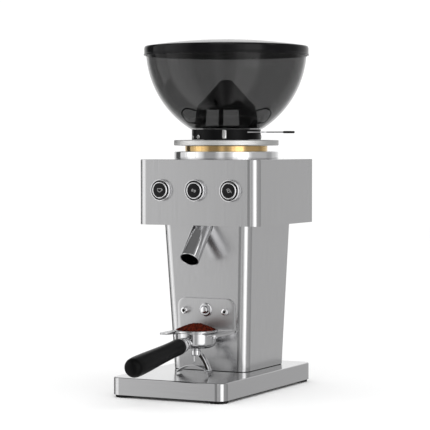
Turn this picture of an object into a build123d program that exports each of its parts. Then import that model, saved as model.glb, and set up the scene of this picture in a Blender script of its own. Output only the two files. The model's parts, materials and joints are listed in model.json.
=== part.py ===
from build123d import *
from math import atan, cos, degrees, pi, radians, sin, sqrt
import os

# Flat-burr coffee grinder with an open fork for a portafilter, a smoked bean
# hopper on a knurled adjusting ring, and a slanted chute.  Millimetres, +Z up.
# The burr axis is x = 0, y = 0 in every function below; write() then moves each
# piece by SHIFT_Y so that the row's origin is the centre of the overall footprint.
# The front of the machine faces -Y.

# ---------------------------------------------------------------- dimensions
FRONT_Y, BACK_Y = -318.4, 133.4          # handle tip and hopper lid, the two ends
SHIFT_Y = -(FRONT_Y + BACK_Y) / 2

GAP = 0.3                                # air between bodies that move apart
RUN = 0.06                               # radial clearance of a running fit

# base
BASE_HALF, BASE_FRONT, BASE_BACK = 98.0, -206.7, 120.6
BASE_BOTTOM, BASE_TOP, BASE_R, BASE_WALL = 4.5, 31.6, 15.0, 2.0
FOOT_R, FOOT_INSET = 15.0, 17.0

# column, an upside-down truncated pyramid; bottom and top sections
GASKET = 0.8
COL_Z0, COL_Z1 = BASE_TOP + GASKET, 264.4
COL_HALF0, COL_HALF1 = 66.4, 76.8
COL_FRONT0, COL_FRONT1 = -64.5, -78.5
COL_BACK0, COL_BACK1 = 72.0, 78.0
COL_R, COL_WALL, SHARP_R = 16.0, 2.0, 1.6
LEAN = degrees(atan((COL_FRONT0 - COL_FRONT1) / (COL_Z1 - COL_Z0)))

# service panel on the column's back, with the mains inlet and the power switch
BACK_PANEL_Z0, BACK_PANEL_Z1, PANEL_T = 44.0, 254.0, 1.2
PANEL_MARGIN, DOOR_MARGIN = 6.0, 14.0
VENT_L, VENT_W, VENT_PITCH, VENT_X, VENT_Z0 = 38.0, 3.2, 8.5, 28.0, 150.0
INLET_X, INLET_Z, INLET_W, INLET_H = 24.0, 66.0, 28.0, 20.5
ROCKER_X, ROCKER_W, ROCKER_H, ROCKER_TILT, PIVOT_R = -24.0, 13.0, 19.0, 8.0, 1.2

# head
HEAD_HALF, HEAD_FRONT, HEAD_BACK = 105.4, -107.3, 105.7
HEAD_Z0, HEAD_Z1, HEAD_R, HEAD_WALL = 264.4, 367.8, 16.0, 2.0

# grinding chamber, burrs and adjusting ring
COLLAR_R, COLLAR_TOP = 84.4, 380.4
BRASS_R, BRASS_TOP = 66.3, 389.4
RING_R, RING_TOP, RING_KNURLS = 84.7, 398.8, 120
CHAMBER_R, CHAMBER_BORE, CHAMBER_Z0 = 64.0, 58.0, 300.0
BURR_R, BURR_BORE, BURR_T = 41.5, 24.0, 9.5
BURR_GAP_Z, BURR_AIR, BURR_TEETH = 334.8, 0.2, 24
BURR_SCREW_CIRCLE, BURR_SCREW_HOLE_R = 36.0, 2.1
CARRIER_R, CARRIER_FLOOR_Z, DRUM_R = 58.5, 370.0, 60.0
SHAFT_R = 7.0

# motor
MOTOR_R, MOTOR_Z0, MOTOR_Z1 = 52.0, 84.0, 212.0
STATOR_R, ROTOR_R = 48.0, 29.0
STATOR_Z0, STATOR_Z1 = 116.0, 180.0
END_BELL_T, BEARING_R, BEARING_T = 8.0, 17.5, 11.0
FAN_R, FAN_Z0, FAN_Z1, FAN_BLADES = 42.0, 67.0, 80.0, 9

# chute tube: its axis leaves the head at CHUTE_EXIT_Y and slants forward
CHUTE_R, CHUTE_WALL = 15.4, 1.6
CHUTE_MOUTH_Y, CHUTE_MOUTH_Z = -129.4, 212.0
CHUTE_EXIT_Y = -82.0
CHUTE_TOP_Z = 276.0

# push buttons in the head's front
BUTTON_X, BUTTON_Z = 60.7, 319.5
BEZEL_R, BEZEL_BORE_R, BEZEL_PROUD = 17.4, 15.2, 6.5
CAP_R, CAP_FACE_R, CAP_PROUD, CAP_TRAVEL = 13.2, 11.2, 8.5, 2.0

# fork bracket on the slanted column front
FORK_HALF, FORK_TOP_Z, FORK_Z, FORK_T = 50.0, 147.6, 97.0, 3.0
FORK_TIP_Y, FORK_GAP_HALF = -139.0, 33.2
PEG_X, PEG_Z, PEG_R, PEG_PROUD = 36.0, 128.0, 5.6, 10.5
SWITCH_Z, SWITCH_R, SWITCH_TRAVEL = 130.0, 11.0, 3.0

# hopper
NECK_R, NECK_Z0, NECK_TOP = 55.8, RING_TOP + GAP, 415.5
THROAT_R, SPIGOT_R, SPIGOT_Z0 = 23.0, 36.0, 380.0
BOWL_ARC_R, BOWL_ARC_X, BOWL_ARC_Z, BOWL_WALL = 153.6, -23.84, 546.3, 3.0
BOWL_TOP = 536.5
LID_R, LID_Z0, LID_EDGE, LID_TOP = 133.4, 534.0, 549.0, 560.0
CONE_Z0, CONE_Z1, CONE_R, CONE_TIP_R = 449.5, 495.6, 46.0, 9.0
GUARD_R, GUARD_WALL, GUARD_Z0, GUARD_AXIS = 50.5, 3.0, 417.7, 26.7
WINDOW_HALF, WINDOW_TURNS = 13.8, (-120, -79, 79, 120)
LOOP_Z, LOOP_WIRE, LOOP_HALF_T = 422.0, 3.2, 1.2
SHUTTER_Z, SHUTTER_T, SHUTTER_TIP, SHUTTER_TRAVEL = 409.9, 2.4, 117.5, 48.0
SHUTTER_HALF, GRIP_L = 25.0, 12.7

# portafilter, 58 mm group size
PF_Y, PF_R, PF_RIM_R, PF_Z0 = -107.3, 32.5, 35.0, 72.0
PF_RIM_Z = FORK_Z + GAP
BASKET_R, BASKET_DEPTH = 28.6, 22.0
COFFEE_TOP = 111.5
SPOUT_TIP_X, SPOUT_TIP_Z, SPOUT_TOP_Z, SPOUT_HALF_W, SPOUT_WALL = 27.0, 33.2, 65.0, 5.0, 1.4
ARCH_HALF, ARCH_CROWN_Z, ARCH_T, ARCH_HALF_W, ARCH_Y = 28.8, 46.6, 1.7, 9.0, -5.0
PIN_X, PIN_R, PIN_Z0 = -2.6, 1.4, 48.5
HANDLE_Z, DROOP, HANDLE_R = 82.2, 7.0, 15.5
HANDLE_START, HANDLE_END = 56.0, 212.4   # distances from the basket axis along the handle

MIN_Z = (Align.CENTER, Align.CENTER, Align.MIN)


# ---------------------------------------------------------------- helpers
def write(node, *solids):
    """Moves the solids into the row's frame and writes them as one node."""
    moved = [Pos(0, SHIFT_Y, 0) * solid for solid in solids]
    shape = moved[0] if len(moved) == 1 else Compound(children=moved)
    export_step(shape, f"parts/{node}.step")


def rod(radius, z0, z1, x=0, y=0):
    return Pos(x, y, z0) * Cylinder(radius, z1 - z0, align=MIN_Z)


def tube(outer, inner, z0, z1, x=0, y=0):
    return rod(outer, z0, z1, x, y) - rod(inner, z0 - 1, z1 + 1, x, y)


def block(x0, x1, y0, y1, z0, z1):
    centre = Pos((x0 + x1) / 2, (y0 + y1) / 2, (z0 + z1) / 2)
    return centre * Box(x1 - x0, y1 - y0, z1 - z0)


def turned(*points):
    """A solid of revolution about the burr axis from (radius, height) points."""
    return revolve(make_face(Plane.XZ * Polyline(*points, close=True)), Axis.Z)


def section(half, front, back, z, front_r, back_r):
    """A rectangle at height z with its own corner radii in front and behind."""
    corners = [(-half, front), (half, front), (half, back), (-half, back)]
    face = make_face(Polyline(*corners, close=True))
    middle = (front + back) / 2
    face = fillet([v for v in face.vertices() if v.Y < middle], front_r)
    face = fillet([v for v in face.vertices() if v.Y > middle and abs(v.X) > half - 0.01], back_r)
    return Pos(0, 0, z) * face


def column_at(z):
    """Half width, front and back of the column at height z."""
    t = (z - COL_Z0) / (COL_Z1 - COL_Z0)
    half = COL_HALF0 + t * (COL_HALF1 - COL_HALF0)
    front = COL_FRONT0 + t * (COL_FRONT1 - COL_FRONT0)
    back = COL_BACK0 + t * (COL_BACK1 - COL_BACK0)
    return half, front, back


def column_solid(z0, z1, inset, front_r, back_r):
    """The column's tapered outline between two heights, shrunk by inset."""
    faces = []
    for z in (z0, z1):
        half, front, back = column_at(z)
        faces.append(section(half - inset, front + inset, back - inset, z, front_r, back_r))
    return loft(faces)


def front_plane(x, z, out=0.0):
    """A plane on the slanted column front, local Z outward and local Y up the slope."""
    lean = radians(LEAN)
    normal = Vector(0, -cos(lean), -sin(lean))
    origin = Vector(x, column_at(z)[1], z) + normal * out
    return Plane(origin=origin, x_dir=(1, 0, 0), z_dir=normal)


def chute_plane(z, out=0.0):
    """A plane square to the chute at the axis point of height z, local Z down the chute."""
    run = (CHUTE_EXIT_Y - CHUTE_MOUTH_Y) / (HEAD_Z0 - CHUTE_MOUTH_Z)
    y = CHUTE_EXIT_Y + run * (z - HEAD_Z0)
    along = Vector(0, -run, -1).normalized()
    return Plane(origin=Vector(0, y, z) + along * out, x_dir=(1, 0, 0), z_dir=along)


def chute_bar(radius, z_top, length):
    """A cylinder along the chute axis, from the axis point at z_top downwards."""
    return chute_plane(z_top) * Cylinder(radius, length, align=MIN_Z)


def chute_length(z_top):
    run = (CHUTE_EXIT_Y - CHUTE_MOUTH_Y) / (HEAD_Z0 - CHUTE_MOUTH_Z)
    return (z_top - CHUTE_MOUTH_Z) * sqrt(1 + run * run)


def cap_screw(radius, head_h, shank_r, shank_l):
    """A socket-head screw along local Z with its head above the origin."""
    head = Cylinder(radius, head_h, align=MIN_Z)
    head = chamfer(head.edges().group_by(Axis.Z)[-1], 0.4)
    socket = Pos(0, 0, head_h / 2) * extrude(RegularPolygon(radius * 0.55, 6), head_h)
    shank = Pos(0, 0, -shank_l) * Cylinder(shank_r, shank_l, align=MIN_Z)
    return head - socket + shank


def ring_of(count, radius, start=0.0):
    """Places around the burr axis."""
    return [(radius * cos(start + 2 * pi * i / count), radius * sin(start + 2 * pi * i / count))
            for i in range(count)]


# ---------------------------------------------------------------- base
def base_shell():
    outer = extrude(section(BASE_HALF, BASE_FRONT, BASE_BACK, BASE_BOTTOM, BASE_R, BASE_R),
                    BASE_TOP - BASE_BOTTOM)
    outer = fillet(outer.edges().group_by(Axis.Z)[-1], 2.2)
    w = BASE_WALL
    inner = extrude(section(BASE_HALF - w, BASE_FRONT + w, BASE_BACK - w, BASE_BOTTOM - 1,
                            BASE_R - w, BASE_R - w), BASE_TOP - w - BASE_BOTTOM + 1)
    cable_hole = rod(12, BASE_TOP - 5, BASE_TOP + 5, y=30)
    return outer - inner - cable_hole


def base_plate():
    w = BASE_WALL + 0.2
    plate = extrude(section(BASE_HALF - w, BASE_FRONT + w, BASE_BACK - w, BASE_BOTTOM - 0.8,
                            BASE_R - w, BASE_R - w), 3.0)
    for x, y in foot_places():
        plate -= rod(2.2, 0, 10, x, y)
    return plate


def foot_places():
    y_front, y_back = BASE_FRONT + FOOT_INSET, BASE_BACK - FOOT_INSET
    x = BASE_HALF - FOOT_INSET
    return [(-x, y_front), (x, y_front), (-x, y_back), (x, y_back)]


def foot(x, y):
    pad = rod(FOOT_R, 0, BASE_BOTTOM - 0.8, x, y)
    pad = chamfer(pad.edges().group_by(Axis.Z)[0], 0.5)
    return pad - rod(4.4, 0.8, 5, x, y) - rod(2.2, -1, 5, x, y)


def foot_screw(x, y):
    return rod(4.2, 0.9, 2.1, x, y) + rod(2.1, 2.1, 12.0, x, y)


# ---------------------------------------------------------------- column
def column_gasket():
    half, front, back = column_at(COL_Z0)
    outer = extrude(section(half - 0.8, front + 0.8, back - 0.8, BASE_TOP, COL_R - 0.8, SHARP_R), GASKET)
    inner = extrude(section(half - 6, front + 6, back - 6, BASE_TOP - 1, COL_R - 5, SHARP_R), GASKET + 2)
    return outer - inner


def column_back_slab(z0, z1, margin, depth0, depth1):
    """A slab on the column's back wall, margin in from its sides."""
    faces = []
    for z in (z0, z1):
        half, _, back = column_at(z)
        corners = [(margin - half, back + depth0), (half - margin, back + depth0),
                   (half - margin, back + depth1), (margin - half, back + depth1)]
        faces.append(Pos(0, 0, z) * make_face(Polyline(*corners, close=True)))
    return loft(faces)


def column_shell():
    shell = column_solid(COL_Z0, COL_Z1, 0, COL_R, SHARP_R)
    # the cavity runs past both ends so that the column is open top and bottom
    cavity = column_solid(COL_Z0 - 2, COL_Z1 + 2, COL_WALL, COL_R - COL_WALL, 0.8)
    door = column_back_slab(BACK_PANEL_Z0 + 8, BACK_PANEL_Z1 - 8, DOOR_MARGIN, -6, 4)
    chute = chute_bar(CHUTE_R + 0.6, CHUTE_TOP_Z, chute_length(CHUTE_TOP_Z) / 2)
    shell = shell - cavity - door - chute
    shell -= front_plane(0, SWITCH_Z) * Cylinder(7.2, 20)
    for x in (-PEG_X, PEG_X):
        shell -= front_plane(x, PEG_Z) * Cylinder(3.1, 20)
    for place in back_screw_planes():
        shell -= place * Cylinder(1.6, 20)
    return shell


def back_plane(x, z, out=0.0):
    """A plane on the column's back wall, local Z outward."""
    lean = atan((COL_BACK1 - COL_BACK0) / (COL_Z1 - COL_Z0))
    normal = Vector(0, cos(lean), -sin(lean))
    origin = Vector(x, column_at(z)[2], z) + normal * out
    return Plane(origin=origin, x_dir=(-1, 0, 0), z_dir=normal)


def back_screw_planes():
    places = []
    for z in (BACK_PANEL_Z0 + 4, (BACK_PANEL_Z0 + BACK_PANEL_Z1) / 2, BACK_PANEL_Z1 - 4):
        x = column_at(z)[0] - 10
        places += [back_plane(-x, z, PANEL_T), back_plane(x, z, PANEL_T)]
    return places


def column_back_panel():
    panel = column_back_slab(BACK_PANEL_Z0, BACK_PANEL_Z1, PANEL_MARGIN, 0, PANEL_T)
    for i in range(9):
        for x in (-VENT_X, VENT_X):
            slot = SlotOverall(VENT_L, VENT_W)
            panel -= extrude(back_plane(x, VENT_Z0 + VENT_PITCH * i, -5) * slot, 12)
    panel -= back_plane(INLET_X, INLET_Z) * Box(INLET_W, INLET_H, 12)
    panel -= back_plane(ROCKER_X, INLET_Z) * Box(ROCKER_W, ROCKER_H, 12)
    for place in back_screw_planes():
        panel -= place * Cylinder(1.9, 20)
    return panel


def back_screw(place):
    return place * cap_screw(3.2, 1.8, 1.5, 6.0)


# ---------------------------------------------------------------- head
def head_shell():
    outer = extrude(section(HEAD_HALF, HEAD_FRONT, HEAD_BACK, HEAD_Z0, HEAD_R, SHARP_R),
                    HEAD_Z1 - HEAD_Z0)
    outer = fillet(outer.edges().group_by(Axis.Z)[-1], 0.8)
    w = HEAD_WALL
    inner = extrude(section(HEAD_HALF - w, HEAD_FRONT + w, HEAD_BACK - w, HEAD_Z0 - 1,
                            HEAD_R - w, 0.8), HEAD_Z1 - w - HEAD_Z0 + 1)
    shell = outer - inner - rod(CHAMBER_R + 0.4, HEAD_Z1 - 10, HEAD_Z1 + 10)
    for x in (-BUTTON_X, 0, BUTTON_X):
        shell -= button_plane(x) * Cylinder(11.2, 20)
    return shell


def head_bottom_plate():
    w = HEAD_WALL + 0.2
    plate = extrude(section(HEAD_HALF - w, HEAD_FRONT + w, HEAD_BACK - w, HEAD_Z0,
                            HEAD_R - w, 0.6), 2.0)
    plate -= rod(60, HEAD_Z0 - 5, HEAD_Z0 + 5)
    return plate - chute_bar(CHUTE_R + 0.6, CHUTE_TOP_Z + 8, 60)


# ---------------------------------------------------------------- burrs and ring
def grinding_chamber():
    body = turned((SHAFT_R + 1.0, CHAMBER_Z0), (CHAMBER_R, CHAMBER_Z0), (CHAMBER_R, HEAD_Z1),
                  (CHAMBER_R - 3, HEAD_Z1), (CHAMBER_R - 3, 352), (CHAMBER_BORE, 352),
                  (CHAMBER_BORE, CHAMBER_Z0 + 6), (SHAFT_R + 1.0, CHAMBER_Z0 + 6))
    # the cast flange under the head's deck that carries the collar
    flange = tube(CHAMBER_R + 14, CHAMBER_R - 1, HEAD_Z1 - HEAD_WALL - 6, HEAD_Z1 - HEAD_WALL)
    exit_slot = block(-15, 15, -80, -50, 310, 332)
    return body + flange - exit_slot


def lower_collar():
    return turned((BRASS_R + RUN, HEAD_Z1), (COLLAR_R, HEAD_Z1), (COLLAR_R, COLLAR_TOP - 0.8),
                  (COLLAR_R - 0.8, COLLAR_TOP), (BRASS_R + RUN, COLLAR_TOP))


def upper_burr_carrier():
    """The brass carrier: a threaded drum below the ring, with the bean throat in it."""
    seat_z = BURR_GAP_Z + BURR_AIR + BURR_T
    throat_r, top = SPIGOT_R + 1.4, BRASS_TOP
    body = turned((throat_r, seat_z + 22), (CARRIER_R, seat_z + 22), (CARRIER_R, CARRIER_FLOOR_Z),
                  (BRASS_R, CARRIER_FLOOR_Z), (BRASS_R, top), (DRUM_R, top), (DRUM_R, CARRIER_FLOOR_Z + 3),
                  (SPIGOT_R + 6, CARRIER_FLOOR_Z + 3), (SPIGOT_R + 6, top), (throat_r, top))
    body += turned((BURR_BORE, seat_z), (CHAMBER_BORE - 1.5, seat_z), (CHAMBER_BORE - 1.5, seat_z + 24),
                   (throat_r, seat_z + 24), (BURR_BORE, seat_z + 10))
    # three rounded grooves for the thread that shows under the ring
    for z in (382.5, 384.9, 387.3):
        body -= turned((BRASS_R - 0.5, z), (BRASS_R + 1, z - 0.7), (BRASS_R + 1, z + 0.7))
    for x, y in ring_of(3, BURR_SCREW_CIRCLE):
        body -= rod(BURR_SCREW_HOLE_R, BURR_GAP_Z, BURR_GAP_Z + 30, x, y)
    return body


def burr(z0, cut_up):
    """A flat burr: a ground ring with slanted cutting grooves on one face."""
    blank = tube(BURR_R, BURR_BORE, z0, z0 + BURR_T)
    face_z = z0 + BURR_T if cut_up else z0
    sign = 1 if cut_up else -1
    for i in range(BURR_TEETH):
        groove = Pos(0, 8, face_z) * Rot(sign * 35, 0, 0) * Box(40, 2.2, 1.6)
        blank -= Rot(0, 0, 360 / BURR_TEETH * i) * Pos(32, 0, 0) * Rot(0, 0, 12) * groove
    for x, y in ring_of(3, BURR_SCREW_CIRCLE):
        blank -= rod(BURR_SCREW_HOLE_R, z0 - 1, z0 + BURR_T + 1, x, y)
        seat = face_z - 3.4 if cut_up else face_z - 1
        blank -= rod(4.0, seat, seat + 4.4, x, y)
    return blank


def burr_screw(x, y, z_face, sign):
    """A countersunk screw, its head 3 mm under the burr's face."""
    head = rod(3.8, 0, 2.4) - Pos(0, 0, 0.9) * extrude(RegularPolygon(2.0, 6), -1.5)
    screw = head + rod(2.0, 2.4, 15.0)
    turn = Rot(180, 0, 0) if sign > 0 else Rot(0, 0, 0)
    return Pos(x, y, z_face - sign * 0.9) * turn * screw


def lower_burr_carrier():
    """The disc on the shaft, with two sweeper vanes that push grounds to the exit."""
    z1 = BURR_GAP_Z - BURR_AIR - BURR_T
    disc = turned((SHAFT_R, 312), (16, 312), (16, z1 - 7), (44, z1 - 7), (44, z1), (BURR_BORE - 0.2, z1),
                  (BURR_BORE - 0.2, z1 + 3), (SHAFT_R, z1 + 3))
    for angle in (0, 120, 240):
        disc += Rot(0, 0, angle) * block(12, 55, -2.5, 2.5, 309.5, z1 - 2)
    disc -= rod(SHAFT_R, 300, 340)
    for x, y in ring_of(3, BURR_SCREW_CIRCLE):
        disc -= rod(2.05, 300, 340, x, y)
    return disc


def adjusting_ring():
    """The knurled ring, with straight knurls around its rim."""
    z0 = BRASS_TOP + GAP
    ring = turned((NECK_R - 14, z0), (RING_R - 1.0, z0), (RING_R - 0.2, z0 + 0.8),
                  (RING_R - 0.2, RING_TOP - 0.8), (RING_R - 1.0, RING_TOP), (NECK_R - 14, RING_TOP))
    for i in range(RING_KNURLS):
        rib = Pos(RING_R - 0.35, 0, (z0 + RING_TOP) / 2) * Box(0.7, 2.0, RING_TOP - z0 - 2.2)
        ring += Rot(0, 0, 360 / RING_KNURLS * i) * rib
    return ring


# ---------------------------------------------------------------- motor
def motor_shaft():
    shaft = rod(SHAFT_R, 66, BURR_GAP_Z + 1.5)
    return chamfer(shaft.edges().group_by(Axis.Z)[0] + shaft.edges().group_by(Axis.Z)[-1], 0.8)


def motor_rotor():
    core = tube(ROTOR_R, SHAFT_R, STATOR_Z0, STATOR_Z1)
    end_rings = tube(ROTOR_R - 2, SHAFT_R, STATOR_Z0 - 6, STATOR_Z0)
    end_rings += tube(ROTOR_R - 2, SHAFT_R, STATOR_Z1, STATOR_Z1 + 6)
    return core + end_rings


def motor_stator():
    core = tube(STATOR_R, ROTOR_R + 0.7, STATOR_Z0, STATOR_Z1)
    for i in range(12):
        slot = block(ROTOR_R + 4, STATOR_R - 7, -3, 3, STATOR_Z0 - 1, STATOR_Z1 + 1)
        core -= Rot(0, 0, 30 * i) * slot
    return core


def motor_winding(z0, z1):
    ring = tube(STATOR_R - 7, ROTOR_R + 4, z0, z1)
    return fillet(ring.edges(), 2.5)


def motor_housing():
    can = tube(MOTOR_R, STATOR_R, MOTOR_Z0 + 8, MOTOR_Z1 - 8)
    for i in range(10):
        vent = block(40, 60, -5, 5, MOTOR_Z0 + 14, STATOR_Z0 - 6)
        can -= Rot(0, 0, 36 * i) * vent
        can -= Rot(0, 0, 36 * i) * Pos(0, 0, STATOR_Z1 - MOTOR_Z0 - 8) * vent
    return can


def end_bell(z_outer, z_inner):
    """A cast end cap with the bearing pocket open to the motor's inside."""
    low, high = min(z_outer, z_inner), max(z_outer, z_inner)
    disc = rod(MOTOR_R, low, high)
    step = 1 if z_inner > z_outer else -1
    hub = sorted((z_inner, z_inner + step * END_BELL_T))
    disc += rod(BEARING_R + 4, hub[0], hub[1])
    pocket = sorted((z_inner + step * (END_BELL_T + 1), z_inner + step * (END_BELL_T - BEARING_T)))
    disc -= rod(BEARING_R, pocket[0], pocket[1])
    disc -= rod(SHAFT_R + 1.5, low - 20, high + 20)
    for i in range(6):
        x, y = 36 * cos(i * pi / 3), 36 * sin(i * pi / 3)
        disc -= rod(7, low - 1, high + 1, x, y)
    return disc


def bearing(z0):
    return tube(BEARING_R, SHAFT_R + RUN, z0, z0 + BEARING_T)


def cooling_fan():
    fan = tube(12, SHAFT_R, FAN_Z0, FAN_Z1) + tube(FAN_R, 10, FAN_Z0, FAN_Z0 + 1.5)
    for i in range(FAN_BLADES):
        fan += Rot(0, 0, 360 / FAN_BLADES * i) * block(11, FAN_R - 1, -1, 1, FAN_Z0 + 1, FAN_Z1 - 1)
    return fan


def standoff(x, y):
    return rod(5, MOTOR_Z1, CHAMBER_Z0, x, y)


# ---------------------------------------------------------------- electrics
def control_board():
    """The circuit board with its relay, transformer, capacitors and terminals."""
    board = block(-44, 44, 60, 61.6, 214, 260)
    parts = [block(-40, -22, 46, 60, 226, 250), block(-16, 6, 44, 60, 222, 252),
             block(12, 40, 51, 60, 240, 252)]
    for x in (16, 28):
        parts.append(Pos(x, 60, 226) * Rot(90, 0, 0) * Cylinder(4.5, 12, align=MIN_Z))
    return [board] + parts


def run_capacitor():
    return Pos(-38, -12, 50) * Rot(0, 90, 0) * Cylinder(13.5, 62, align=MIN_Z)


def power_inlet():
    """A C14 style inlet: flange, recessed socket and three flat pins."""
    place = back_plane(INLET_X, INLET_Z, PANEL_T)
    flange = extrude(RectangleRounded(46, 27, 3), 2.0)
    shell = Pos(0, 0, -20) * extrude(RectangleRounded(INLET_W - 0.6, INLET_H - 0.6, 3), 20.5)
    socket = Pos(0, 0, -15) * extrude(RectangleRounded(23.5, 16, 3.5), 20)
    body = flange + shell - socket
    for x, y in ((-7, -2.5), (0, 2.5), (7, -2.5)):
        body += Pos(x, y, -9) * Box(2, 4, 13)
    return place * body


def power_switch_frame():
    place = back_plane(ROCKER_X, INLET_Z, PANEL_T)
    frame = extrude(RectangleRounded(ROCKER_W + 4, ROCKER_H + 4, 1.5), 1.6)
    frame += Pos(0, 0, -16) * extrude(Rectangle(ROCKER_W - 0.4, ROCKER_H - 0.4), 16.2)
    frame -= Pos(0, 0, -9) * extrude(Rectangle(ROCKER_W - 3, ROCKER_H - 3), 20)
    frame -= Rot(0, 90, 0) * Cylinder(PIVOT_R + RUN, ROCKER_W - 1)
    return place * frame


def power_switch_rocker():
    """The rocker in its off position, with the pivot pins that sit in the frame's bores."""
    half, top = ROCKER_H / 2 - 2.6, 3.0
    outline = [(-half, 0.5), (-2.5, -5), (2.5, -5), (half, 0.5), (half, top), (0, top - 1.2), (-half, top)]
    rocker = extrude(make_face(Polyline(*outline, close=True)), (ROCKER_W - 3) / 2 - 0.4, both=True)
    rocker = Rot(ROCKER_TILT, 0, 0) * Rot(0, 90, 0) * Rot(0, 0, 90) * rocker
    rocker += Rot(0, 90, 0) * Cylinder(PIVOT_R, ROCKER_W - 1.4)
    return back_plane(ROCKER_X, INLET_Z, PANEL_T) * rocker


# ---------------------------------------------------------------- chute
def chute_elbow():
    """The duct from the chamber's exit slot down into the chute tube."""
    front, back, wall = -86.5, -CHAMBER_R - 1.2, 3.5
    duct = block(-21, 21, front, back, 298, 336) + block(-21, 21, front, -56, HEAD_Z0 + 2.2, 298)
    lip = block(-18, 18, back, back + 6, 307, 335) - rod(CHAMBER_R, 280, 340)
    slot = block(-15, 15, front + wall, back + 10, 310, 332)
    drop = block(-13.8, 13.8, front + wall, back - 1, 284, 332)
    bore = chute_bar(CHUTE_R - CHUTE_WALL, CHUTE_TOP_Z + 15, 24)
    return duct + lip - slot - drop - bore - chute_bar(CHUTE_R, CHUTE_TOP_Z, 40)


def chute_tube():
    length = chute_length(CHUTE_TOP_Z)
    pipe = chute_bar(CHUTE_R, CHUTE_TOP_Z, length)
    pipe -= chute_bar(CHUTE_R - CHUTE_WALL, CHUTE_TOP_Z + 5, length + 20)
    return pipe


# ---------------------------------------------------------------- push buttons
def button_plane(x, out=0.0):
    return Plane(origin=(x, HEAD_FRONT - out, BUTTON_Z), x_dir=(1, 0, 0), z_dir=(0, -1, 0))


def button_bezel(x):
    """A chrome collar with a domed outer edge and a deep well for the cap."""
    ring = Cylinder(BEZEL_R, BEZEL_PROUD, align=MIN_Z)
    ring = fillet(ring.edges().group_by(Axis.Z)[-1], 1.6)
    return button_plane(x) * (ring - Cylinder(BEZEL_BORE_R, 40))


def button_barrel(x):
    """The switch body behind the panel, open in front for the cap's stem."""
    barrel = Pos(0, 0, -15) * Cylinder(11.0, 15, align=MIN_Z)
    barrel += Pos(0, 0, -18) * Box(12, 8, 3, align=MIN_Z)
    barrel -= Pos(0, 0, -12.5) * Cylinder(8.3 + GAP, 40, align=MIN_Z)
    return button_plane(x) * barrel


def button_nut(x):
    nut = extrude(RegularPolygon(16, 6), 3.5)
    nut = Pos(0, 0, -HEAD_WALL - 3.5) * nut - Cylinder(11.0, 60)
    return button_plane(x) * nut


def button_cap(x):
    """The pressed cap: a silver ring around a sunk round face, on a stem."""
    cap = Pos(0, 0, 3.2) * Cylinder(CAP_R, CAP_PROUD - 3.2, align=MIN_Z)
    cap = fillet(cap.edges().group_by(Axis.Z)[-1], 0.9)
    cap -= Pos(0, 0, CAP_PROUD - 0.6) * Cylinder(CAP_FACE_R, 5, align=MIN_Z)
    cap += Pos(0, 0, -9) * Cylinder(8.3, 13, align=MIN_Z)
    return button_plane(x) * cap


# ---------------------------------------------------------------- fork and dosing switch
def fork_bracket():
    """One bent steel sheet: a plate on the column front and a fork towards the user."""
    foot_z = FORK_Z - FORK_T
    height = (FORK_TOP_Z - foot_z) / cos(radians(LEAN))
    corner = 13.0
    outline = Pos(0, height / 2) * Rectangle(2 * FORK_HALF, height)
    outline = fillet([v for v in outline.vertices() if v.Y > height / 2], corner)
    plate = extrude(front_plane(0, foot_z) * outline, FORK_T)
    # the slanted foot of the plate is trimmed level with the fork's underside
    plate -= block(-80, 80, -120, 0, foot_z - 10, foot_z)
    wall = column_at(FORK_Z)[1]
    fork = block(-FORK_HALF, FORK_HALF, FORK_TIP_Y, wall - 0.5, foot_z, FORK_Z)
    tips = [e for e in fork.edges().filter_by(Axis.Z) if e.center().Y < FORK_TIP_Y + 1]
    fork = fillet(tips, 7.0)
    gap = block(-FORK_GAP_HALF, FORK_GAP_HALF, FORK_TIP_Y - 10, PF_Y, foot_z - 5, FORK_Z + 5)
    gap += rod(FORK_GAP_HALF, foot_z - 5, FORK_Z + 5, y=PF_Y)
    flare = [(FORK_GAP_HALF, FORK_TIP_Y + 9), (FORK_GAP_HALF + 5, FORK_TIP_Y - 1),
             (-FORK_GAP_HALF - 5, FORK_TIP_Y - 1), (-FORK_GAP_HALF, FORK_TIP_Y + 9)]
    gap += Pos(0, 0, foot_z - 5) * extrude(make_face(Polyline(*flare, close=True)), 20)
    bracket = plate + fork - gap
    bracket -= front_plane(0, SWITCH_Z) * Cylinder(7.2, 20)
    for x in (-PEG_X, PEG_X):
        bracket -= front_plane(x, PEG_Z) * Cylinder(3.1, 20)
    return bracket


def fork_screw(x):
    """A long-headed socket screw that also locates the portafilter's rim."""
    return front_plane(x, PEG_Z, FORK_T) * cap_screw(PEG_R, PEG_PROUD - FORK_T, 3.0, 12.0)


def dosing_switch_bezel():
    ring = Cylinder(SWITCH_R, 2.6, align=MIN_Z)
    ring = fillet(ring.edges().group_by(Axis.Z)[-1], 1.4)
    ring += Pos(0, 0, -9.5) * Cylinder(7.1, 10, align=MIN_Z)
    return front_plane(0, SWITCH_Z, FORK_T) * (ring - Cylinder(5.6, 60))


def dosing_switch_plunger():
    stem = Pos(0, 0, -5) * Cylinder(5.3, 13.5, align=MIN_Z)
    stem = fillet(stem.edges().group_by(Axis.Z)[-1], 1.6)
    return front_plane(0, SWITCH_Z, FORK_T) * stem


def dosing_switch_body():
    box = Pos(0, 0, -18) * Box(13, 14, 5.8, align=MIN_Z)
    cup = Pos(0, 0, -12.2) * (Cylinder(7.1, 2.6, align=MIN_Z) - Cylinder(5.9, 2.6, align=MIN_Z))
    return front_plane(0, SWITCH_Z, FORK_T) * (box + cup)


def dosing_switch_spring():
    """A round-wire return spring of four turns behind the plunger."""
    length = 5.4
    path = Helix(pitch=length / 4, height=length, radius=4.0)
    start = Plane(origin=path @ 0, z_dir=path % 0)
    wire = sweep(start * Circle(0.4), path=path)
    return front_plane(0, SWITCH_Z, FORK_T - 11.2) * wire


# ---------------------------------------------------------------- hopper
def bowl_radius(z, arc_r):
    return BOWL_ARC_X + sqrt(arc_r ** 2 - (BOWL_ARC_Z - z) ** 2)


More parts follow.
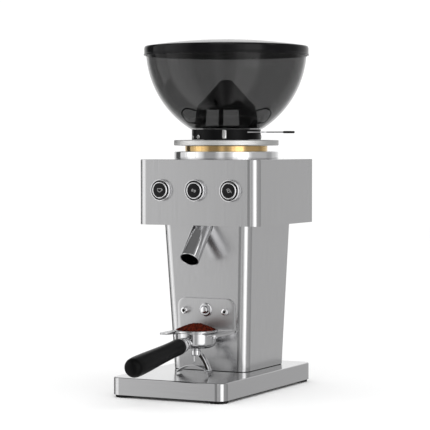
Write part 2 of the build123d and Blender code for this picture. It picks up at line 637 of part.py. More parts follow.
def bowl_arc(z0, z1, arc_r):
    """The arc of the bowl's profile at arc_r between two heights."""
    points = [(bowl_radius(z, arc_r), z) for z in (z0, (z0 + z1) / 2, z1)]
    return ThreePointArc(*points)


def hopper_bowl():
    inner_r = BOWL_ARC_R - BOWL_WALL
    outside = bowl_arc(NECK_TOP, BOWL_TOP, BOWL_ARC_R)
    inside = bowl_arc(NECK_TOP + 2, BOWL_TOP, inner_r)
    sole = [outside @ 0, (THROAT_R + 15, NECK_TOP), (THROAT_R + 15, NECK_TOP + 2), inside @ 0]
    edges = Curve() + [outside, inside, Line(outside @ 1, inside @ 1), Polyline(*sole)]
    return revolve(make_face(Plane.XZ * edges), Axis.Z)


def hopper_neck():
    """The black foot of the hopper with its throat, spigot and shutter slot."""
    neck = turned((THROAT_R, SPIGOT_Z0), (SPIGOT_R, SPIGOT_Z0), (SPIGOT_R, NECK_Z0), (NECK_R, NECK_Z0),
                  (NECK_R, NECK_TOP), (THROAT_R + 11, NECK_TOP), (THROAT_R, NECK_TOP - 0.8))
    slot = block(-THROAT_R - 4, NECK_R + 5, -SHUTTER_HALF - 1, SHUTTER_HALF + 1,
                 SHUTTER_Z - 0.7, SHUTTER_Z + SHUTTER_T + 0.7)
    return neck - slot


def axis_dome(radius, crown_z, edge_z):
    """An arc centred on the axis, from its crown out to the given radius."""
    drop = crown_z - edge_z
    dome_r = (radius ** 2 + drop ** 2) / (2 * abs(drop))
    half_drop = dome_r - sqrt(dome_r ** 2 - radius ** 2 / 4)
    return ThreePointArc((0, crown_z), (radius / 2, crown_z - half_drop), (radius, edge_z))


def hopper_lid():
    """A shallow dome with a deep rim outside the bowl and a guide skirt inside it."""
    skirt = bowl_radius(522, BOWL_ARC_R - BOWL_WALL) - 1.0
    rim_in = bowl_radius(BOWL_TOP, BOWL_ARC_R) + 1.0
    crown_z, under_z, ceiling_z = LID_TOP, LID_TOP - 4, BOWL_TOP + 3
    top = axis_dome(LID_R - 1.5, crown_z, LID_EDGE)
    under = axis_dome(skirt - 2.5, under_z, ceiling_z)
    rim = [(LID_R - 1.5, LID_EDGE), (LID_R, LID_EDGE - 1.8), (LID_R, LID_Z0), (rim_in, LID_Z0),
           (rim_in, BOWL_TOP + GAP), (skirt, BOWL_TOP + GAP), (skirt, 522),
           (skirt - 2.5, 522), (skirt - 2.5, ceiling_z)]
    edges = Curve() + [top, Polyline(*rim), under, Line((0, under_z), (0, crown_z))]
    return revolve(make_face(Plane.XZ * edges), Axis.Z)


def deflector_cone():
    """The finger guard: a blunt hollow cone on a flared cage with four bean windows."""
    wall, shoulder_r, shoulder_z = GUARD_WALL, CONE_R + 1, CONE_Z0 + 5
    guard = turned((GUARD_R, GUARD_Z0), (shoulder_r, CONE_Z0), (CONE_R, shoulder_z),
                   (CONE_TIP_R + 2, CONE_Z1 - 4), (CONE_TIP_R - 3, CONE_Z1), (0, CONE_Z1),
                   (0, CONE_Z1 - wall), (CONE_TIP_R - 4, CONE_Z1 - wall), (CONE_R - wall, shoulder_z - 1),
                   (shoulder_r - wall, CONE_Z0), (GUARD_R - wall, GUARD_Z0))
    window = block(20, 70, -WINDOW_HALF, WINDOW_HALF, GUARD_Z0 + 4, CONE_Z0 - 1)
    for turn in WINDOW_TURNS:
        guard -= Rot(0, 0, GUARD_AXIS + turn) * window
    for side in (-1, 1):
        guard += Rot(0, 0, GUARD_AXIS) * grip_loop(side)
    return guard


def grip_loop(side):
    """A finger loop beside the guard, by which it is twisted out of the neck."""
    outline = [(-1.8, 2.5), (12, 3), (20, 12), (24, 22), (16, 30), (-4.4, 25)]
    plate = fillet(make_face(Polyline(*outline, close=True)).vertices(), 2.0)
    loop = extrude(plate - offset(plate, -LOOP_WIRE), LOOP_HALF_T, both=True)
    place = Plane(origin=(side * GUARD_R, 0, LOOP_Z), x_dir=(side, 0, 0), z_dir=(0, -side, 0))
    return place * loop


def shutter_plate():
    """The steel slide, drawn pulled out: a broad tongue that closes the throat, then a strip."""
    end, z1 = THROAT_R + 1.2, SHUTTER_Z + SHUTTER_T
    broad = block(end, end + SHUTTER_TRAVEL + 2, -SHUTTER_HALF, SHUTTER_HALF, SHUTTER_Z, z1)
    strip = block(end + SHUTTER_TRAVEL, SHUTTER_TIP - 3, -9, 9, SHUTTER_Z, z1)
    return broad + strip


def shutter_grip():
    z0, z1 = SHUTTER_Z - 0.6, SHUTTER_Z + SHUTTER_T + 0.6
    grip = block(SHUTTER_TIP - GRIP_L, SHUTTER_TIP, -10.5, 10.5, z0, z1)
    grip = fillet(grip.edges().filter_by(Axis.Z), 2.5)
    return grip - block(SHUTTER_TIP - 40, SHUTTER_TIP - 3, -9, 9, SHUTTER_Z, SHUTTER_Z + SHUTTER_T)


# ---------------------------------------------------------------- portafilter
def handle_plane(distance):
    """A plane square to the drooping handle; local Z points to the handle's end."""
    droop = radians(DROOP)
    along = Vector(0, -cos(droop), -sin(droop))
    start = Vector(0, PF_Y - PF_R, HANDLE_Z) + Vector(0, cos(droop), sin(droop)) * PF_R
    return Plane(origin=start + along * distance, x_dir=(1, 0, 0), z_dir=along)


def portafilter_body():
    rim = PF_RIM_Z
    shape = turned((0, PF_Z0), (PF_R - 4, PF_Z0), (PF_R, PF_Z0 + 4), (PF_R, rim), (PF_RIM_R, rim),
                   (PF_RIM_R, rim + 2.6), (BASKET_R + 0.6, rim + 2.6), (BASKET_R + 0.6, PF_Z0 + 4),
                   (0, PF_Z0 + 4))
    for side in (0, 180):
        lug = block(PF_R - 2, PF_R + 7, -9, 9, FORK_Z - FORK_T - 8, FORK_Z - FORK_T - 1)
        shape += Rot(0, 0, side) * lug
    body = Pos(0, PF_Y, 0) * shape
    # the boss that takes the handle, and the drain hole under the basket
    body += handle_plane(PF_R - 3) * Cylinder(9.5, 9, align=MIN_Z)
    body -= rod(4, PF_Z0 - 5, PF_Z0 + 10, y=PF_Y)
    return body - rod(BASKET_R + 0.6, PF_Z0 + 4, PF_RIM_Z + 8, y=PF_Y)


def portafilter_basket():
    rim = PF_RIM_Z + 2.6
    shape = turned((0, rim - BASKET_DEPTH), (BASKET_R, rim - BASKET_DEPTH), (BASKET_R, rim),
                   (PF_RIM_R, rim), (PF_RIM_R, rim + 1.0), (BASKET_R - 0.8, rim + 1.0),
                   (BASKET_R - 0.8, rim - BASKET_DEPTH + 0.8), (0, rim - BASKET_DEPTH + 0.8))
    return Pos(0, PF_Y, 0) * shape


def ground_coffee():
    """The dose in the basket, heaped above its rim."""
    rim = PF_RIM_Z + 3.6
    low = rim - 10
    heap_r = PF_RIM_R - 4.0
    return Pos(0, PF_Y, 0) * turned((0, low), (BASKET_R - 0.9, low), (BASKET_R - 0.9, rim + 0.02),
                                    (heap_r, rim + 0.02), (heap_r - 1, rim + 0.8), (6, COFFEE_TOP - 1.4),
                                    (2.5, COFFEE_TOP), (0, COFFEE_TOP))


def spout_band(outer, inner, half_width):
    """A curved bar between two arcs given by their three (x, z) points."""
    upper, lower = ThreePointArc(*outer), ThreePointArc(*inner)
    ends = [Line(upper @ 0, lower @ 0), Line(upper @ 1, lower @ 1)]
    face = make_face(Curve() + [upper, lower] + ends)
    return extrude(Plane.XZ * face, half_width, both=True)


def portafilter_spout():
    """The spout: an open trough from a short neck, a thin arched drip guard and a centre pin."""
    tip_x, tip_z, w = SPOUT_TIP_X, SPOUT_TIP_Z, SPOUT_WALL
    back = [(11, SPOUT_TOP_Z), (18.6, 53.6), (tip_x, tip_z)]
    floor = [(4.5, SPOUT_TOP_Z - 4), (13, 51.4), (tip_x - 5, tip_z)]
    arm = spout_band(back, floor, SPOUT_HALF_W)
    channel_back = [(13, SPOUT_TOP_Z + 4), (21, 56), (tip_x + 3, tip_z - 1)]
    channel_floor = [(6.5, SPOUT_TOP_Z - 3.6 + w), (14.3, 52.5), (tip_x - 5 + w, tip_z - 1)]
    arm -= spout_band(channel_back, channel_floor, SPOUT_HALF_W - w)
    arch = spout_band([(-ARCH_HALF, tip_z + ARCH_T), (0, ARCH_CROWN_Z), (ARCH_HALF, tip_z + ARCH_T)],
                      [(1 - ARCH_HALF, tip_z), (0, ARCH_CROWN_Z - ARCH_T), (ARCH_HALF - 1, tip_z)],
                      ARCH_HALF_W)
    neck = rod(7.5, SPOUT_TOP_Z - 5, PF_Z0) - rod(5.0, SPOUT_TOP_Z, PF_Z0 + 1)
    pin = rod(PIN_R, PIN_Z0, SPOUT_TOP_Z, x=PIN_X)
    return Pos(0, PF_Y, 0) * (arm + Pos(0, ARCH_Y, 0) * arch + neck + pin)


def portafilter_ferrule():
    """The chrome collar and nut between the body and the handle."""
    collar = Cylinder(8.0, 6, align=MIN_Z) + Pos(0, 0, 5) * Cylinder(11.5, 6, align=MIN_Z)
    collar += Pos(0, 0, 10) * Cone(10.5, 12.5, HANDLE_START - PF_R - 16, align=MIN_Z)
    return handle_plane(PF_R + 6) * collar


def portafilter_handle():
    """The moulded grip, thicker towards its domed end."""
    length = HANDLE_END - HANDLE_START
    shoulder, bulge = 10.0, 1.5
    flat_r = HANDLE_R - shoulder
    knee = shoulder * (1 - sqrt(0.5))
    profile = [(0, 0), (12.6, 0), (13.0, 3), (13.4, length * 0.4), (HANDLE_R, length - bulge - shoulder)]
    corner = ThreePointArc(profile[-1], (HANDLE_R - knee, length - bulge - knee), (flat_r, length - bulge))
    dome = axis_dome(flat_r, length, length - bulge)
    edges = Curve() + [Polyline(*profile), corner, dome, Line((0, length), (0, 0))]
    grip = revolve(make_face(Plane.XZ * edges), Axis.Z)
    return handle_plane(HANDLE_START) * grip


# ---------------------------------------------------------------- all nodes
def main():
    os.makedirs("parts", exist_ok=True)
    sides = (-BUTTON_X, 0, BUTTON_X)
    screw_places = ring_of(3, BURR_SCREW_CIRCLE)
    upper_face, lower_face = BURR_GAP_Z + BURR_AIR, BURR_GAP_Z - BURR_AIR

    write("base_shell", base_shell())
    write("base_plate", base_plate())
    write("base_feet", *[foot(x, y) for x, y in foot_places()])
    write("base_screws", *[foot_screw(x, y) for x, y in foot_places()])

    write("column_gasket", column_gasket())
    write("column_shell", column_shell())
    write("column_back_panel", column_back_panel())
    write("back_panel_screws", *[back_screw(place) for place in back_screw_planes()])

    write("head_shell", head_shell())
    write("head_bottom_plate", head_bottom_plate())

    write("grinding_chamber", grinding_chamber())
    write("lower_collar", lower_collar())
    write("upper_burr_carrier", upper_burr_carrier())
    write("upper_burr", burr(upper_face, cut_up=False))
    write("upper_burr_screws", *[burr_screw(x, y, upper_face, -1) for x, y in screw_places])
    write("lower_burr_carrier", lower_burr_carrier())
    write("lower_burr", burr(lower_face - BURR_T, cut_up=True))
    write("lower_burr_screws", *[burr_screw(x, y, lower_face, 1) for x, y in screw_places])
    write("adjusting_ring", adjusting_ring())

    write("motor_shaft", motor_shaft())
    write("motor_rotor", motor_rotor())
    write("motor_stator", motor_stator())
    write("motor_windings", motor_winding(STATOR_Z0 - 14, STATOR_Z0 - 0.2),
          motor_winding(STATOR_Z1 + 0.2, STATOR_Z1 + 14))
    write("motor_housing", motor_housing())
    write("lower_end_bell", end_bell(MOTOR_Z0, MOTOR_Z0 + END_BELL_T))
    write("upper_end_bell", end_bell(MOTOR_Z1, MOTOR_Z1 - END_BELL_T))
    write("shaft_bearings", bearing(MOTOR_Z0 + 5), bearing(MOTOR_Z1 - 5 - BEARING_T))
    write("cooling_fan", cooling_fan())
    write("motor_standoffs", *[standoff(x, y) for x, y in ring_of(4, 44, pi / 4)])

    write("control_board", *control_board())
    write("run_capacitor", run_capacitor())
    write("power_inlet", power_inlet())
    write("power_switch_frame", power_switch_frame())
    write("power_switch_rocker", power_switch_rocker())

    write("chute_elbow", chute_elbow())
    write("chute_tube", chute_tube())

    write("button_bezels", *[button_bezel(x) for x in sides])
    write("button_barrels", *[button_barrel(x) for x in sides])
    write("button_nuts", *[button_nut(x) for x in sides])
    for name, x in zip(("left", "centre", "right"), sides):
        write(f"button_{name}", button_cap(x))

    write("fork_bracket", fork_bracket())
    write("fork_screws", fork_screw(-PEG_X), fork_screw(PEG_X))
    write("dosing_switch_bezel", dosing_switch_bezel())
    write("dosing_switch_body", dosing_switch_body())
    write("dosing_switch_plunger", dosing_switch_plunger())
    write("dosing_switch_spring", dosing_switch_spring())

    write("hopper_neck", hopper_neck())
    write("hopper_bowl", hopper_bowl())
    write("deflector_cone", deflector_cone())
    write("hopper_lid", hopper_lid())
    write("shutter_plate", shutter_plate())
    write("shutter_grip", shutter_grip())

    write("portafilter_body", portafilter_body())
    write("portafilter_basket", portafilter_basket())
    write("ground_coffee", ground_coffee())
    write("portafilter_spout", portafilter_spout())
    write("portafilter_ferrule", portafilter_ferrule())
    write("portafilter_handle", portafilter_handle())


main()
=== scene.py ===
import json
import random
from math import atan, atan2, cos, hypot, pi, radians, sin, sqrt, tan

import bmesh
import bpy
from mathutils import Matrix, Vector, noise


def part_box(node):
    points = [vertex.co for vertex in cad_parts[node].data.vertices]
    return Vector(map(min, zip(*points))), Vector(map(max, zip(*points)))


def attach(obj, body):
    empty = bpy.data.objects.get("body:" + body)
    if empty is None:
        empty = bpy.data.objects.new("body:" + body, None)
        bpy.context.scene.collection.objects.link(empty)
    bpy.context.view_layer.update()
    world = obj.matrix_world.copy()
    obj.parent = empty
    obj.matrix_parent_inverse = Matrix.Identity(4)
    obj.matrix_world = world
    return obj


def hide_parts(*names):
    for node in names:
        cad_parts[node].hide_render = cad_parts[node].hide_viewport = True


# A flat-burr coffee grinder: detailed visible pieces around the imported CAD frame.
# Metres, +Z up, the front faces -Y.  Sizes come from the frame's node boxes.

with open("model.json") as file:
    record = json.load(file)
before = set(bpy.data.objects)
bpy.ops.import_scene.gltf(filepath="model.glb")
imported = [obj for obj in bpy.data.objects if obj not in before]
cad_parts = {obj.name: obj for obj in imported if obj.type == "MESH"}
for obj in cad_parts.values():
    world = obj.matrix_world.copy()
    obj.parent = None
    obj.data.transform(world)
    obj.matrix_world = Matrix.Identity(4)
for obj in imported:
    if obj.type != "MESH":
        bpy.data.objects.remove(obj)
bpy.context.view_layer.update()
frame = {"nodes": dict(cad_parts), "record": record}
nodes = frame["nodes"]


def centre(node):
    low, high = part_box(node)
    return (low + high) / 2


MM = 0.001
AXIS_Y = centre("lower_collar").y            # the burr axis runs up through (0, AXIS_Y)

# The rest is in millimetres from the burr axis (x, y) and the floor (z).
HEAD_FRONT_Y = -107.3
BUTTON_XS, BUTTON_Z = (-60.7, 0, 60.7), 319.5
CUP_Y = -107.3                               # the portafilter's own axis
CUP_R = 32.5
COLUMN_FOOT_Z, COLUMN_HEIGHT = 32.4, 232.0
COLUMN_FRONT_Y, COLUMN_FORWARD = -64.5, 14.0    # at its foot, and how far it leans forward
FORK_TOP_Z, FORK_Z = 147.6, 94.0
FORK_HALF, FORK_ROOT, FORK_END = 50.0, 68.4, 139.0
FORK_GAP_R = 33.2
FORK_CORNER, FORK_TIP = 13.0, 7.0
FORK_FLARE, FORK_FLARE_OUT = 9.0, 4.4
FORK_THICK, FORK_BEND = 3.0, 5.0
FORK_SCREW_XS, FORK_SCREW_Z = (-36, 36), 128
SWITCH_Z = 130.0


# -------------------------------------- camera, stage and light
CAMERA_AZIMUTH, CAMERA_PITCH = 26.72, 2.17


def make_camera():
    """A long lens to the right of the front, looking slightly down."""
    data = bpy.data.cameras.new("camera")
    data.sensor_width = 36.0
    data.lens = 159.9
    data.clip_end = 50.0
    camera = bpy.data.objects.new("camera", data)
    camera.location = (1.3721, AXIS_Y - 2.7664, 0.3944)
    camera.rotation_euler = (radians(90 - CAMERA_PITCH), 0, radians(CAMERA_AZIMUTH))
    bpy.context.scene.collection.objects.link(camera)
    bpy.context.scene.camera = camera


def shader_nodes(owner):
    """The emptied node tree of a material or world."""
    owner.use_nodes = True
    owner.node_tree.nodes.clear()
    return owner.node_tree


def node(tree, kind, **values):
    """A new node with its properties or sockets set by name."""
    made = tree.nodes.new(kind)
    for name, value in values.items():
        if hasattr(made, name) and name not in made.inputs:
            setattr(made, name, value)
        else:
            made.inputs[name.replace("_", " ")].default_value = value
    return made


# (azimuth in degrees from straight ahead, brightness) round the studio, + is the right side
STUDIO_RING = [
    (-180, 0.85), (-153, 1.05), (-135, 0.80), (-128, 0.68), (-122, 0.50), (-116, 0.08), (-79, 0.08),
    (-73, 0.45), (-67, 1.52), (-49, 1.52), (-46, 1.0), (-42, 1.35), (-36, 1.02), (-28, 0.74),
    (-22, 0.36), (0, 0.33), (6, 0.50), (13, 0.82), (18, 0.72), (25, 0.40), (31, 0.52), (39, 0.85),
    (44, 1.52), (73, 1.52), (79, 0.85), (86, 0.50), (122, 0.46), (130, 0.36), (142, 0.38), (150, 0.56),
    (162, 0.62), (180, 0.85),
]
RING_PEAK = 1.7
WHITE_STRENGTH = 1.06
CEILING_GREY, CEILING_FROM, CEILING_TO = 0.11, 0.6, 0.8     # heights on the unit sphere


def make_world():
    """White to the eye and to matt surfaces, a graded grey studio to polished ones."""
    world = bpy.data.worlds.new("studio")
    bpy.context.scene.world = world
    tree = shader_nodes(world)
    link = tree.links.new
    out = tree.nodes.new("ShaderNodeOutputWorld")
    path = tree.nodes.new("ShaderNodeLightPath")
    plain = node(tree, "ShaderNodeBackground", Color=(1, 1, 1, 1), Strength=WHITE_STRENGTH)
    graded = node(tree, "ShaderNodeBackground", Strength=RING_PEAK)
    coord = tree.nodes.new("ShaderNodeTexCoord")
    split = tree.nodes.new("ShaderNodeSeparateXYZ")
    link(coord.outputs["Generated"], split.inputs[0])
    # brightness against azimuth, turned so that 0.5 is straight ahead of the front face
    azimuth = node(tree, "ShaderNodeMath", operation="ARCTAN2")
    link(split.outputs["X"], azimuth.inputs[0])
    flip = node(tree, "ShaderNodeMath", operation="MULTIPLY")
    flip.inputs[1].default_value = -1.0
    link(split.outputs["Y"], flip.inputs[0])
    link(flip.outputs[0], azimuth.inputs[1])
    turn = node(tree, "ShaderNodeMapRange")
    turn.inputs["From Min"].default_value = -pi
    turn.inputs["From Max"].default_value = pi
    link(azimuth.outputs[0], turn.inputs["Value"])
    ring = tree.nodes.new("ShaderNodeValToRGB")
    ring.color_ramp.interpolation = "LINEAR"
    stops = ring.color_ramp.elements
    for azimuth_deg, _ in STUDIO_RING[2:]:
        stops.new(0.5 + azimuth_deg / 360)
    for stop, (azimuth_deg, brightness) in zip(stops, STUDIO_RING):
        grey = brightness / RING_PEAK
        stop.position = 0.5 + azimuth_deg / 360
        stop.color = (grey, grey, grey, 1)
    link(turn.outputs[0], ring.inputs[0])
    # the ceiling is dark, so that up-facing polished parts read with contrast
    height = node(tree, "ShaderNodeMapRange")
    height.inputs["From Min"].default_value = CEILING_FROM
    height.inputs["From Max"].default_value = CEILING_TO
    link(split.outputs["Z"], height.inputs["Value"])
    ceiling = node(tree, "ShaderNodeMix", data_type="RGBA")
    ceiling.inputs[7].default_value = (CEILING_GREY, CEILING_GREY, CEILING_GREY, 1)
    link(height.outputs[0], ceiling.inputs[0])
    link(ring.outputs[0], ceiling.inputs[6])
    link(ceiling.outputs[2], graded.inputs["Color"])
    mix = tree.nodes.new("ShaderNodeMixShader")
    link(path.outputs["Is Glossy Ray"], mix.inputs[0])
    link(plain.outputs[0], mix.inputs[1])
    link(graded.outputs[0], mix.inputs[2])
    link(mix.outputs[0], out.inputs[0])


def make_softbox(name, azimuth, distance, width, height, z, strength):
    """An area light facing the machine; azimuth 0 is in front, 90 to the right."""
    data = bpy.data.lights.new(name, "AREA")
    data.shape = "RECTANGLE"
    data.size = width
    data.size_y = height
    data.energy = strength * width * height * pi
    light = bpy.data.objects.new(name, data)
    turn = radians(azimuth)
    light.location = (distance * sin(turn), AXIS_Y - distance * cos(turn), z)
    toward = Vector((0, AXIS_Y, 0.3)) - light.location
    light.rotation_euler = toward.to_track_quat("-Z", "Y").to_euler()
    light.visible_camera = False
    bpy.context.scene.collection.objects.link(light)


def make_lights():
    make_softbox("strip_right", 63, 2.2, 0.9, 2.4, 0.7, 0.7)
    make_softbox("strip_left", -82, 2.2, 0.9, 2.4, 0.7, 0.7)
    make_softbox("top", 20, 1.9, 1.4, 1.0, 2.1, 1.2)
    make_softbox("high_strip", 98, 1.6, 0.22, 0.9, 1.75, 1.6)


def make_floor():
    """A plain white floor, which polished parts don't mirror."""
    mesh = bpy.data.meshes.new("floor")
    half = 6.0
    corners = [(-half, -half, 0), (half, -half, 0), (half, half, 0), (-half, half, 0)]
    mesh.from_pydata(corners, [], [(0, 1, 2, 3)])
    floor = bpy.data.objects.new("floor", mesh)
    material = bpy.data.materials.new("floor")
    tree = shader_nodes(material)
    out = tree.nodes.new("ShaderNodeOutputMaterial")
    shader = node(tree, "ShaderNodeBsdfDiffuse", Color=(0.96, 0.96, 0.96, 1))
    tree.links.new(shader.outputs[0], out.inputs[0])
    floor.visible_glossy = False
    mesh.materials.append(material)
    bpy.context.scene.collection.objects.link(floor)


# -------------------------------------- materials
def principled(name, color, **sockets):
    """A new material with one Principled shader; returns (material, tree, shader)."""
    material = bpy.data.materials.new(name)
    tree = shader_nodes(material)
    out = tree.nodes.new("ShaderNodeOutputMaterial")
    shader = tree.nodes.new("ShaderNodeBsdfPrincipled")
    shader.inputs["Base Color"].default_value = (*color, 1)
    for socket, value in sockets.items():
        shader.inputs[socket.replace("_", " ")].default_value = value
    tree.links.new(shader.outputs[0], out.inputs[0])
    return material, tree, shader


def object_coords(tree, scale=(1, 1, 1)):
    """Object coordinates stretched by scale, for textures."""
    coord = tree.nodes.new("ShaderNodeTexCoord")
    mapping = node(tree, "ShaderNodeMapping", Scale=scale)
    tree.links.new(coord.outputs["Object"], mapping.inputs["Vector"])
    return mapping.outputs[0]


def noise_texture(tree, vector, scale, detail=3.0, roughness=0.5):
    texture = node(tree, "ShaderNodeTexNoise", Scale=scale, Detail=detail, Roughness=roughness)
    tree.links.new(vector, texture.inputs["Vector"])
    return texture.outputs["Fac"]


def spread(tree, fac, low, high, from_low=0.3, from_high=0.7):
    """A texture's value mapped to a range of roughness or brightness."""
    mapped = tree.nodes.new("ShaderNodeMapRange")
    for socket, value in (("From Min", from_low), ("From Max", from_high),
                          ("To Min", low), ("To Max", high)):
        mapped.inputs[socket].default_value = value
    tree.links.new(fac, mapped.inputs["Value"])
    return mapped.outputs[0]


def tint(tree, fac, dark, light):
    """A colour between dark and light by fac."""
    mix = node(tree, "ShaderNodeMix", data_type="RGBA")
    mix.inputs[6].default_value = (*dark, 1)
    mix.inputs[7].default_value = (*light, 1)
    tree.links.new(fac, mix.inputs[0])
    return mix.outputs[2]


def bump(tree, shader, height, strength, distance):
    made = node(tree, "ShaderNodeBump", Strength=strength, Distance=distance)
    tree.links.new(height, made.inputs["Height"])
    tree.links.new(made.outputs[0], shader.inputs["Normal"])


def brushed(name, color, roughness, grain, bump_strength=0.05):
    """Brushed metal: fine lines along grain's short axis, and a faint cloudiness."""
    material, tree, shader = principled(name, color, Metallic=1.0)
    lines = noise_texture(tree, object_coords(tree, grain), 1.0, 4.0, 0.6)
    cloud = noise_texture(tree, object_coords(tree, (9, 9, 5)), 1.0, 2.0)
    dark = tuple(c * 0.96 for c in color)
    light = tuple(min(c * 1.04, 1) for c in color)
    tree.links.new(tint(tree, spread(tree, lines, 0, 1), dark, light), shader.inputs["Base Color"])
    tree.links.new(spread(tree, cloud, roughness * 0.96, roughness * 1.05), shader.inputs["Roughness"])
    bump(tree, shader, lines, bump_strength, 0.0002)
    return material


def polished(name, color, roughness):
    """Polished metal with very faint wiping marks."""
    material, tree, shader = principled(name, color, Metallic=1.0)
    marks = noise_texture(tree, object_coords(tree, (60, 60, 20)), 1.0, 4.0)
    tree.links.new(spread(tree, marks, roughness * 0.7, roughness * 1.5), shader.inputs["Roughness"])
    return material


def cast(name, color, roughness):
    """Cast or blasted metal with a fine grain."""
    material, tree, shader = principled(name, color, Metallic=1.0)
    grain = noise_texture(tree, object_coords(tree), 900.0, 4.0)
    dark = tuple(c * 0.82 for c in color)
    tree.links.new(tint(tree, spread(tree, grain, 0, 1), dark, color), shader.inputs["Base Color"])
    tree.links.new(spread(tree, grain, roughness * 0.8, roughness * 1.2), shader.inputs["Roughness"])
    bump(tree, shader, grain, 0.25, 0.0003)
    return material


def moulded(name, color, roughness, grain_size=1400.0, strength=0.08, shine=0.28):
    """Moulded plastic or rubber: a fine grain and slightly uneven gloss."""
    material, tree, shader = principled(name, color)
    shader.inputs["Specular IOR Level"].default_value = shine
    grain = noise_texture(tree, object_coords(tree), grain_size, 2.0)
    patches = noise_texture(tree, object_coords(tree), 30.0, 2.0)
    light = tuple(c * 1.3 + 0.002 for c in color)
    tree.links.new(tint(tree, spread(tree, patches, 0, 1), color, light), shader.inputs["Base Color"])
    tree.links.new(spread(tree, patches, roughness * 0.85, roughness * 1.2), shader.inputs["Roughness"])
    bump(tree, shader, grain, strength, 0.0002)
    return material


def coffee_material():
    """Loose grounds: reddish brown grains with darker gaps."""
    material, tree, shader = principled("coffee", (0.05, 0.02, 0.01),
                                        Roughness=0.85, Specular_IOR_Level=0.06)
    vector = object_coords(tree)
    cells = node(tree, "ShaderNodeTexVoronoi", Scale=700.0)
    tree.links.new(vector, cells.inputs["Vector"])
    clumps = noise_texture(tree, vector, 420.0, 2.0, 0.6)
    dark, light = (0.004, 0.0006, 0.0003), (0.12, 0.013, 0.004)
    color = tint(tree, spread(tree, clumps, 0, 1, 0.4, 0.6), dark, light)
    tree.links.new(color, shader.inputs["Base Color"])
    bump(tree, shader, cells.outputs["Distance"], 0.9, 0.0006)
    return material


def smoked_material():
    """Smoked transparent plastic, the same all through, with a polished skin."""
    material, tree, shader = principled("smoked", (0.003, 0.003, 0.003), Alpha=0.53)
    haze = noise_texture(tree, object_coords(tree), 14.0, 2.0)
    tree.links.new(spread(tree, haze, 0.03, 0.07), shader.inputs["Roughness"])
    shader.inputs["IOR"].default_value = 1.49
    shader.inputs["Specular IOR Level"].default_value = 0.35
    return material


def make_materials():
    upright, round_grain = (900, 900, 12), (12, 12, 1500)
    return {
        "steel_panel": brushed("steel_panel", (0.59, 0.59, 0.595), 0.22, upright, 0.02),
        "base_steel": brushed("base_steel", (0.54, 0.54, 0.545), 0.16, (14, 900, 900), 0.03),
        "fork_steel": brushed("fork_steel", (0.60, 0.60, 0.605), 0.38, upright, 0.02),
        "turned_steel": brushed("turned_steel", (0.84, 0.84, 0.85), 0.09, round_grain, 0.03),
        "polished_steel": polished("polished_steel", (0.62, 0.62, 0.63), 0.09),
        "screw_steel": brushed("screw_steel", (0.60, 0.60, 0.60), 0.16, round_grain),
        "knurled_aluminium": cast("knurled_aluminium", (0.80, 0.80, 0.79), 0.40),
        "cast_aluminium": cast("cast_aluminium", (0.62, 0.62, 0.63), 0.45),
        "brass": brushed("brass", (0.80, 0.60, 0.30), 0.09, round_grain, 0.03),
        "burr_steel": brushed("burr_steel", (0.42, 0.42, 0.43), 0.3, round_grain),
        "motor_steel": brushed("motor_steel", (0.36, 0.37, 0.39), 0.4, round_grain, 0.2),
        "motor_paint": moulded("motor_paint", (0.02, 0.022, 0.025), 0.4, 500.0, 0.15),
        "copper_wire": brushed("copper_wire", (0.72, 0.33, 0.18), 0.35, round_grain, 0.3),
        "black_rubber": moulded("black_rubber", (0.006, 0.006, 0.006), 0.75, 900.0, 0.2, 0.2),
        "black_plastic": moulded("black_plastic", (0.006, 0.006, 0.0065), 0.42),
        "black_paint": moulded("black_paint", (0.006, 0.006, 0.006), 0.5, 700.0, 0.15),
        "gloss_black": moulded("gloss_black", (0.002, 0.002, 0.0024), 0.14, 1400.0, 0.02, 0.16),
        "smoked_clear": smoked_material(),
        "guard_black": moulded("guard_black", (0.003, 0.003, 0.0035), 0.3, shine=0.08),
        "handle_black": moulded("handle_black", (0.002, 0.002, 0.0022), 0.34, shine=0.07),
        "board_green": moulded("board_green", (0.02, 0.12, 0.05), 0.35, 200.0, 0.1),
        "coffee": coffee_material(),
        # near black: painted shade in the fork screws' sockets, and the dark lining of the spout's trough
        "dark_fill_and_painted_shade": moulded("dark_fill_and_painted_shade", (0.008, 0.006, 0.005), 0.35, 500.0, 0.2),
        "button_black": moulded("button_black", (0.004, 0.004, 0.0045), 0.30, shine=0.2),
        "icon_grey": moulded("icon_grey", (0.30, 0.30, 0.30), 0.5),
    }


# -------------------------------------- mesh helpers
def spot(x, y, z):
    """The point x, y, z millimetres from the burr axis at floor level."""
    return Vector((x * MM, AXIS_Y + y * MM, z * MM))


def placed(origin, z_dir=(0, 0, 1), x_dir=(1, 0, 0)):
    """A matrix that sets local millimetres at origin, local Z along z_dir."""
    z = Vector(z_dir).normalized()
    x = Vector(x_dir)
    x = (x - z * x.dot(z)).normalized()
    turn = Matrix((x, z.cross(x), z)).transposed().to_4x4()
    return Matrix.Translation(origin) @ turn @ Matrix.Scale(MM, 4)


def soften(points, steps=4, closed=True):
    """Rounds the corners of a profile; a point's third number is its corner radius."""
    rounded, count = [], len(points)
    for i, point in enumerate(points):
        here = Vector(point[:2])
        radius = point[2] if len(point) > 2 else 0
        if radius <= 0 or (not closed and i in (0, count - 1)):
            rounded.append(tuple(here))
            continue
        before = Vector(points[i - 1][:2]) - here
        after = Vector(points[(i + 1) % count][:2]) - here
        cut = min(radius, before.length * 0.48, after.length * 0.48)
        start, end = here + before.normalized() * cut, here + after.normalized() * cut
        for step in range(steps + 1):
            t = step / steps
            rounded.append(tuple(start * (1 - t) ** 2 + here * 2 * t * (1 - t) + end * t ** 2))
    return rounded


def dome(radius, crown, edge, count=14, outward=True):
    """Points of a shallow dome's arc, from the axis out to radius."""
    drop = crown - edge
    big = (radius ** 2 + drop ** 2) / (2 * drop)
    points = [(radius * i / count, crown - big + sqrt(big ** 2 - (radius * i / count) ** 2))
              for i in range(count + 1)]
    return points if outward else points[::-1]


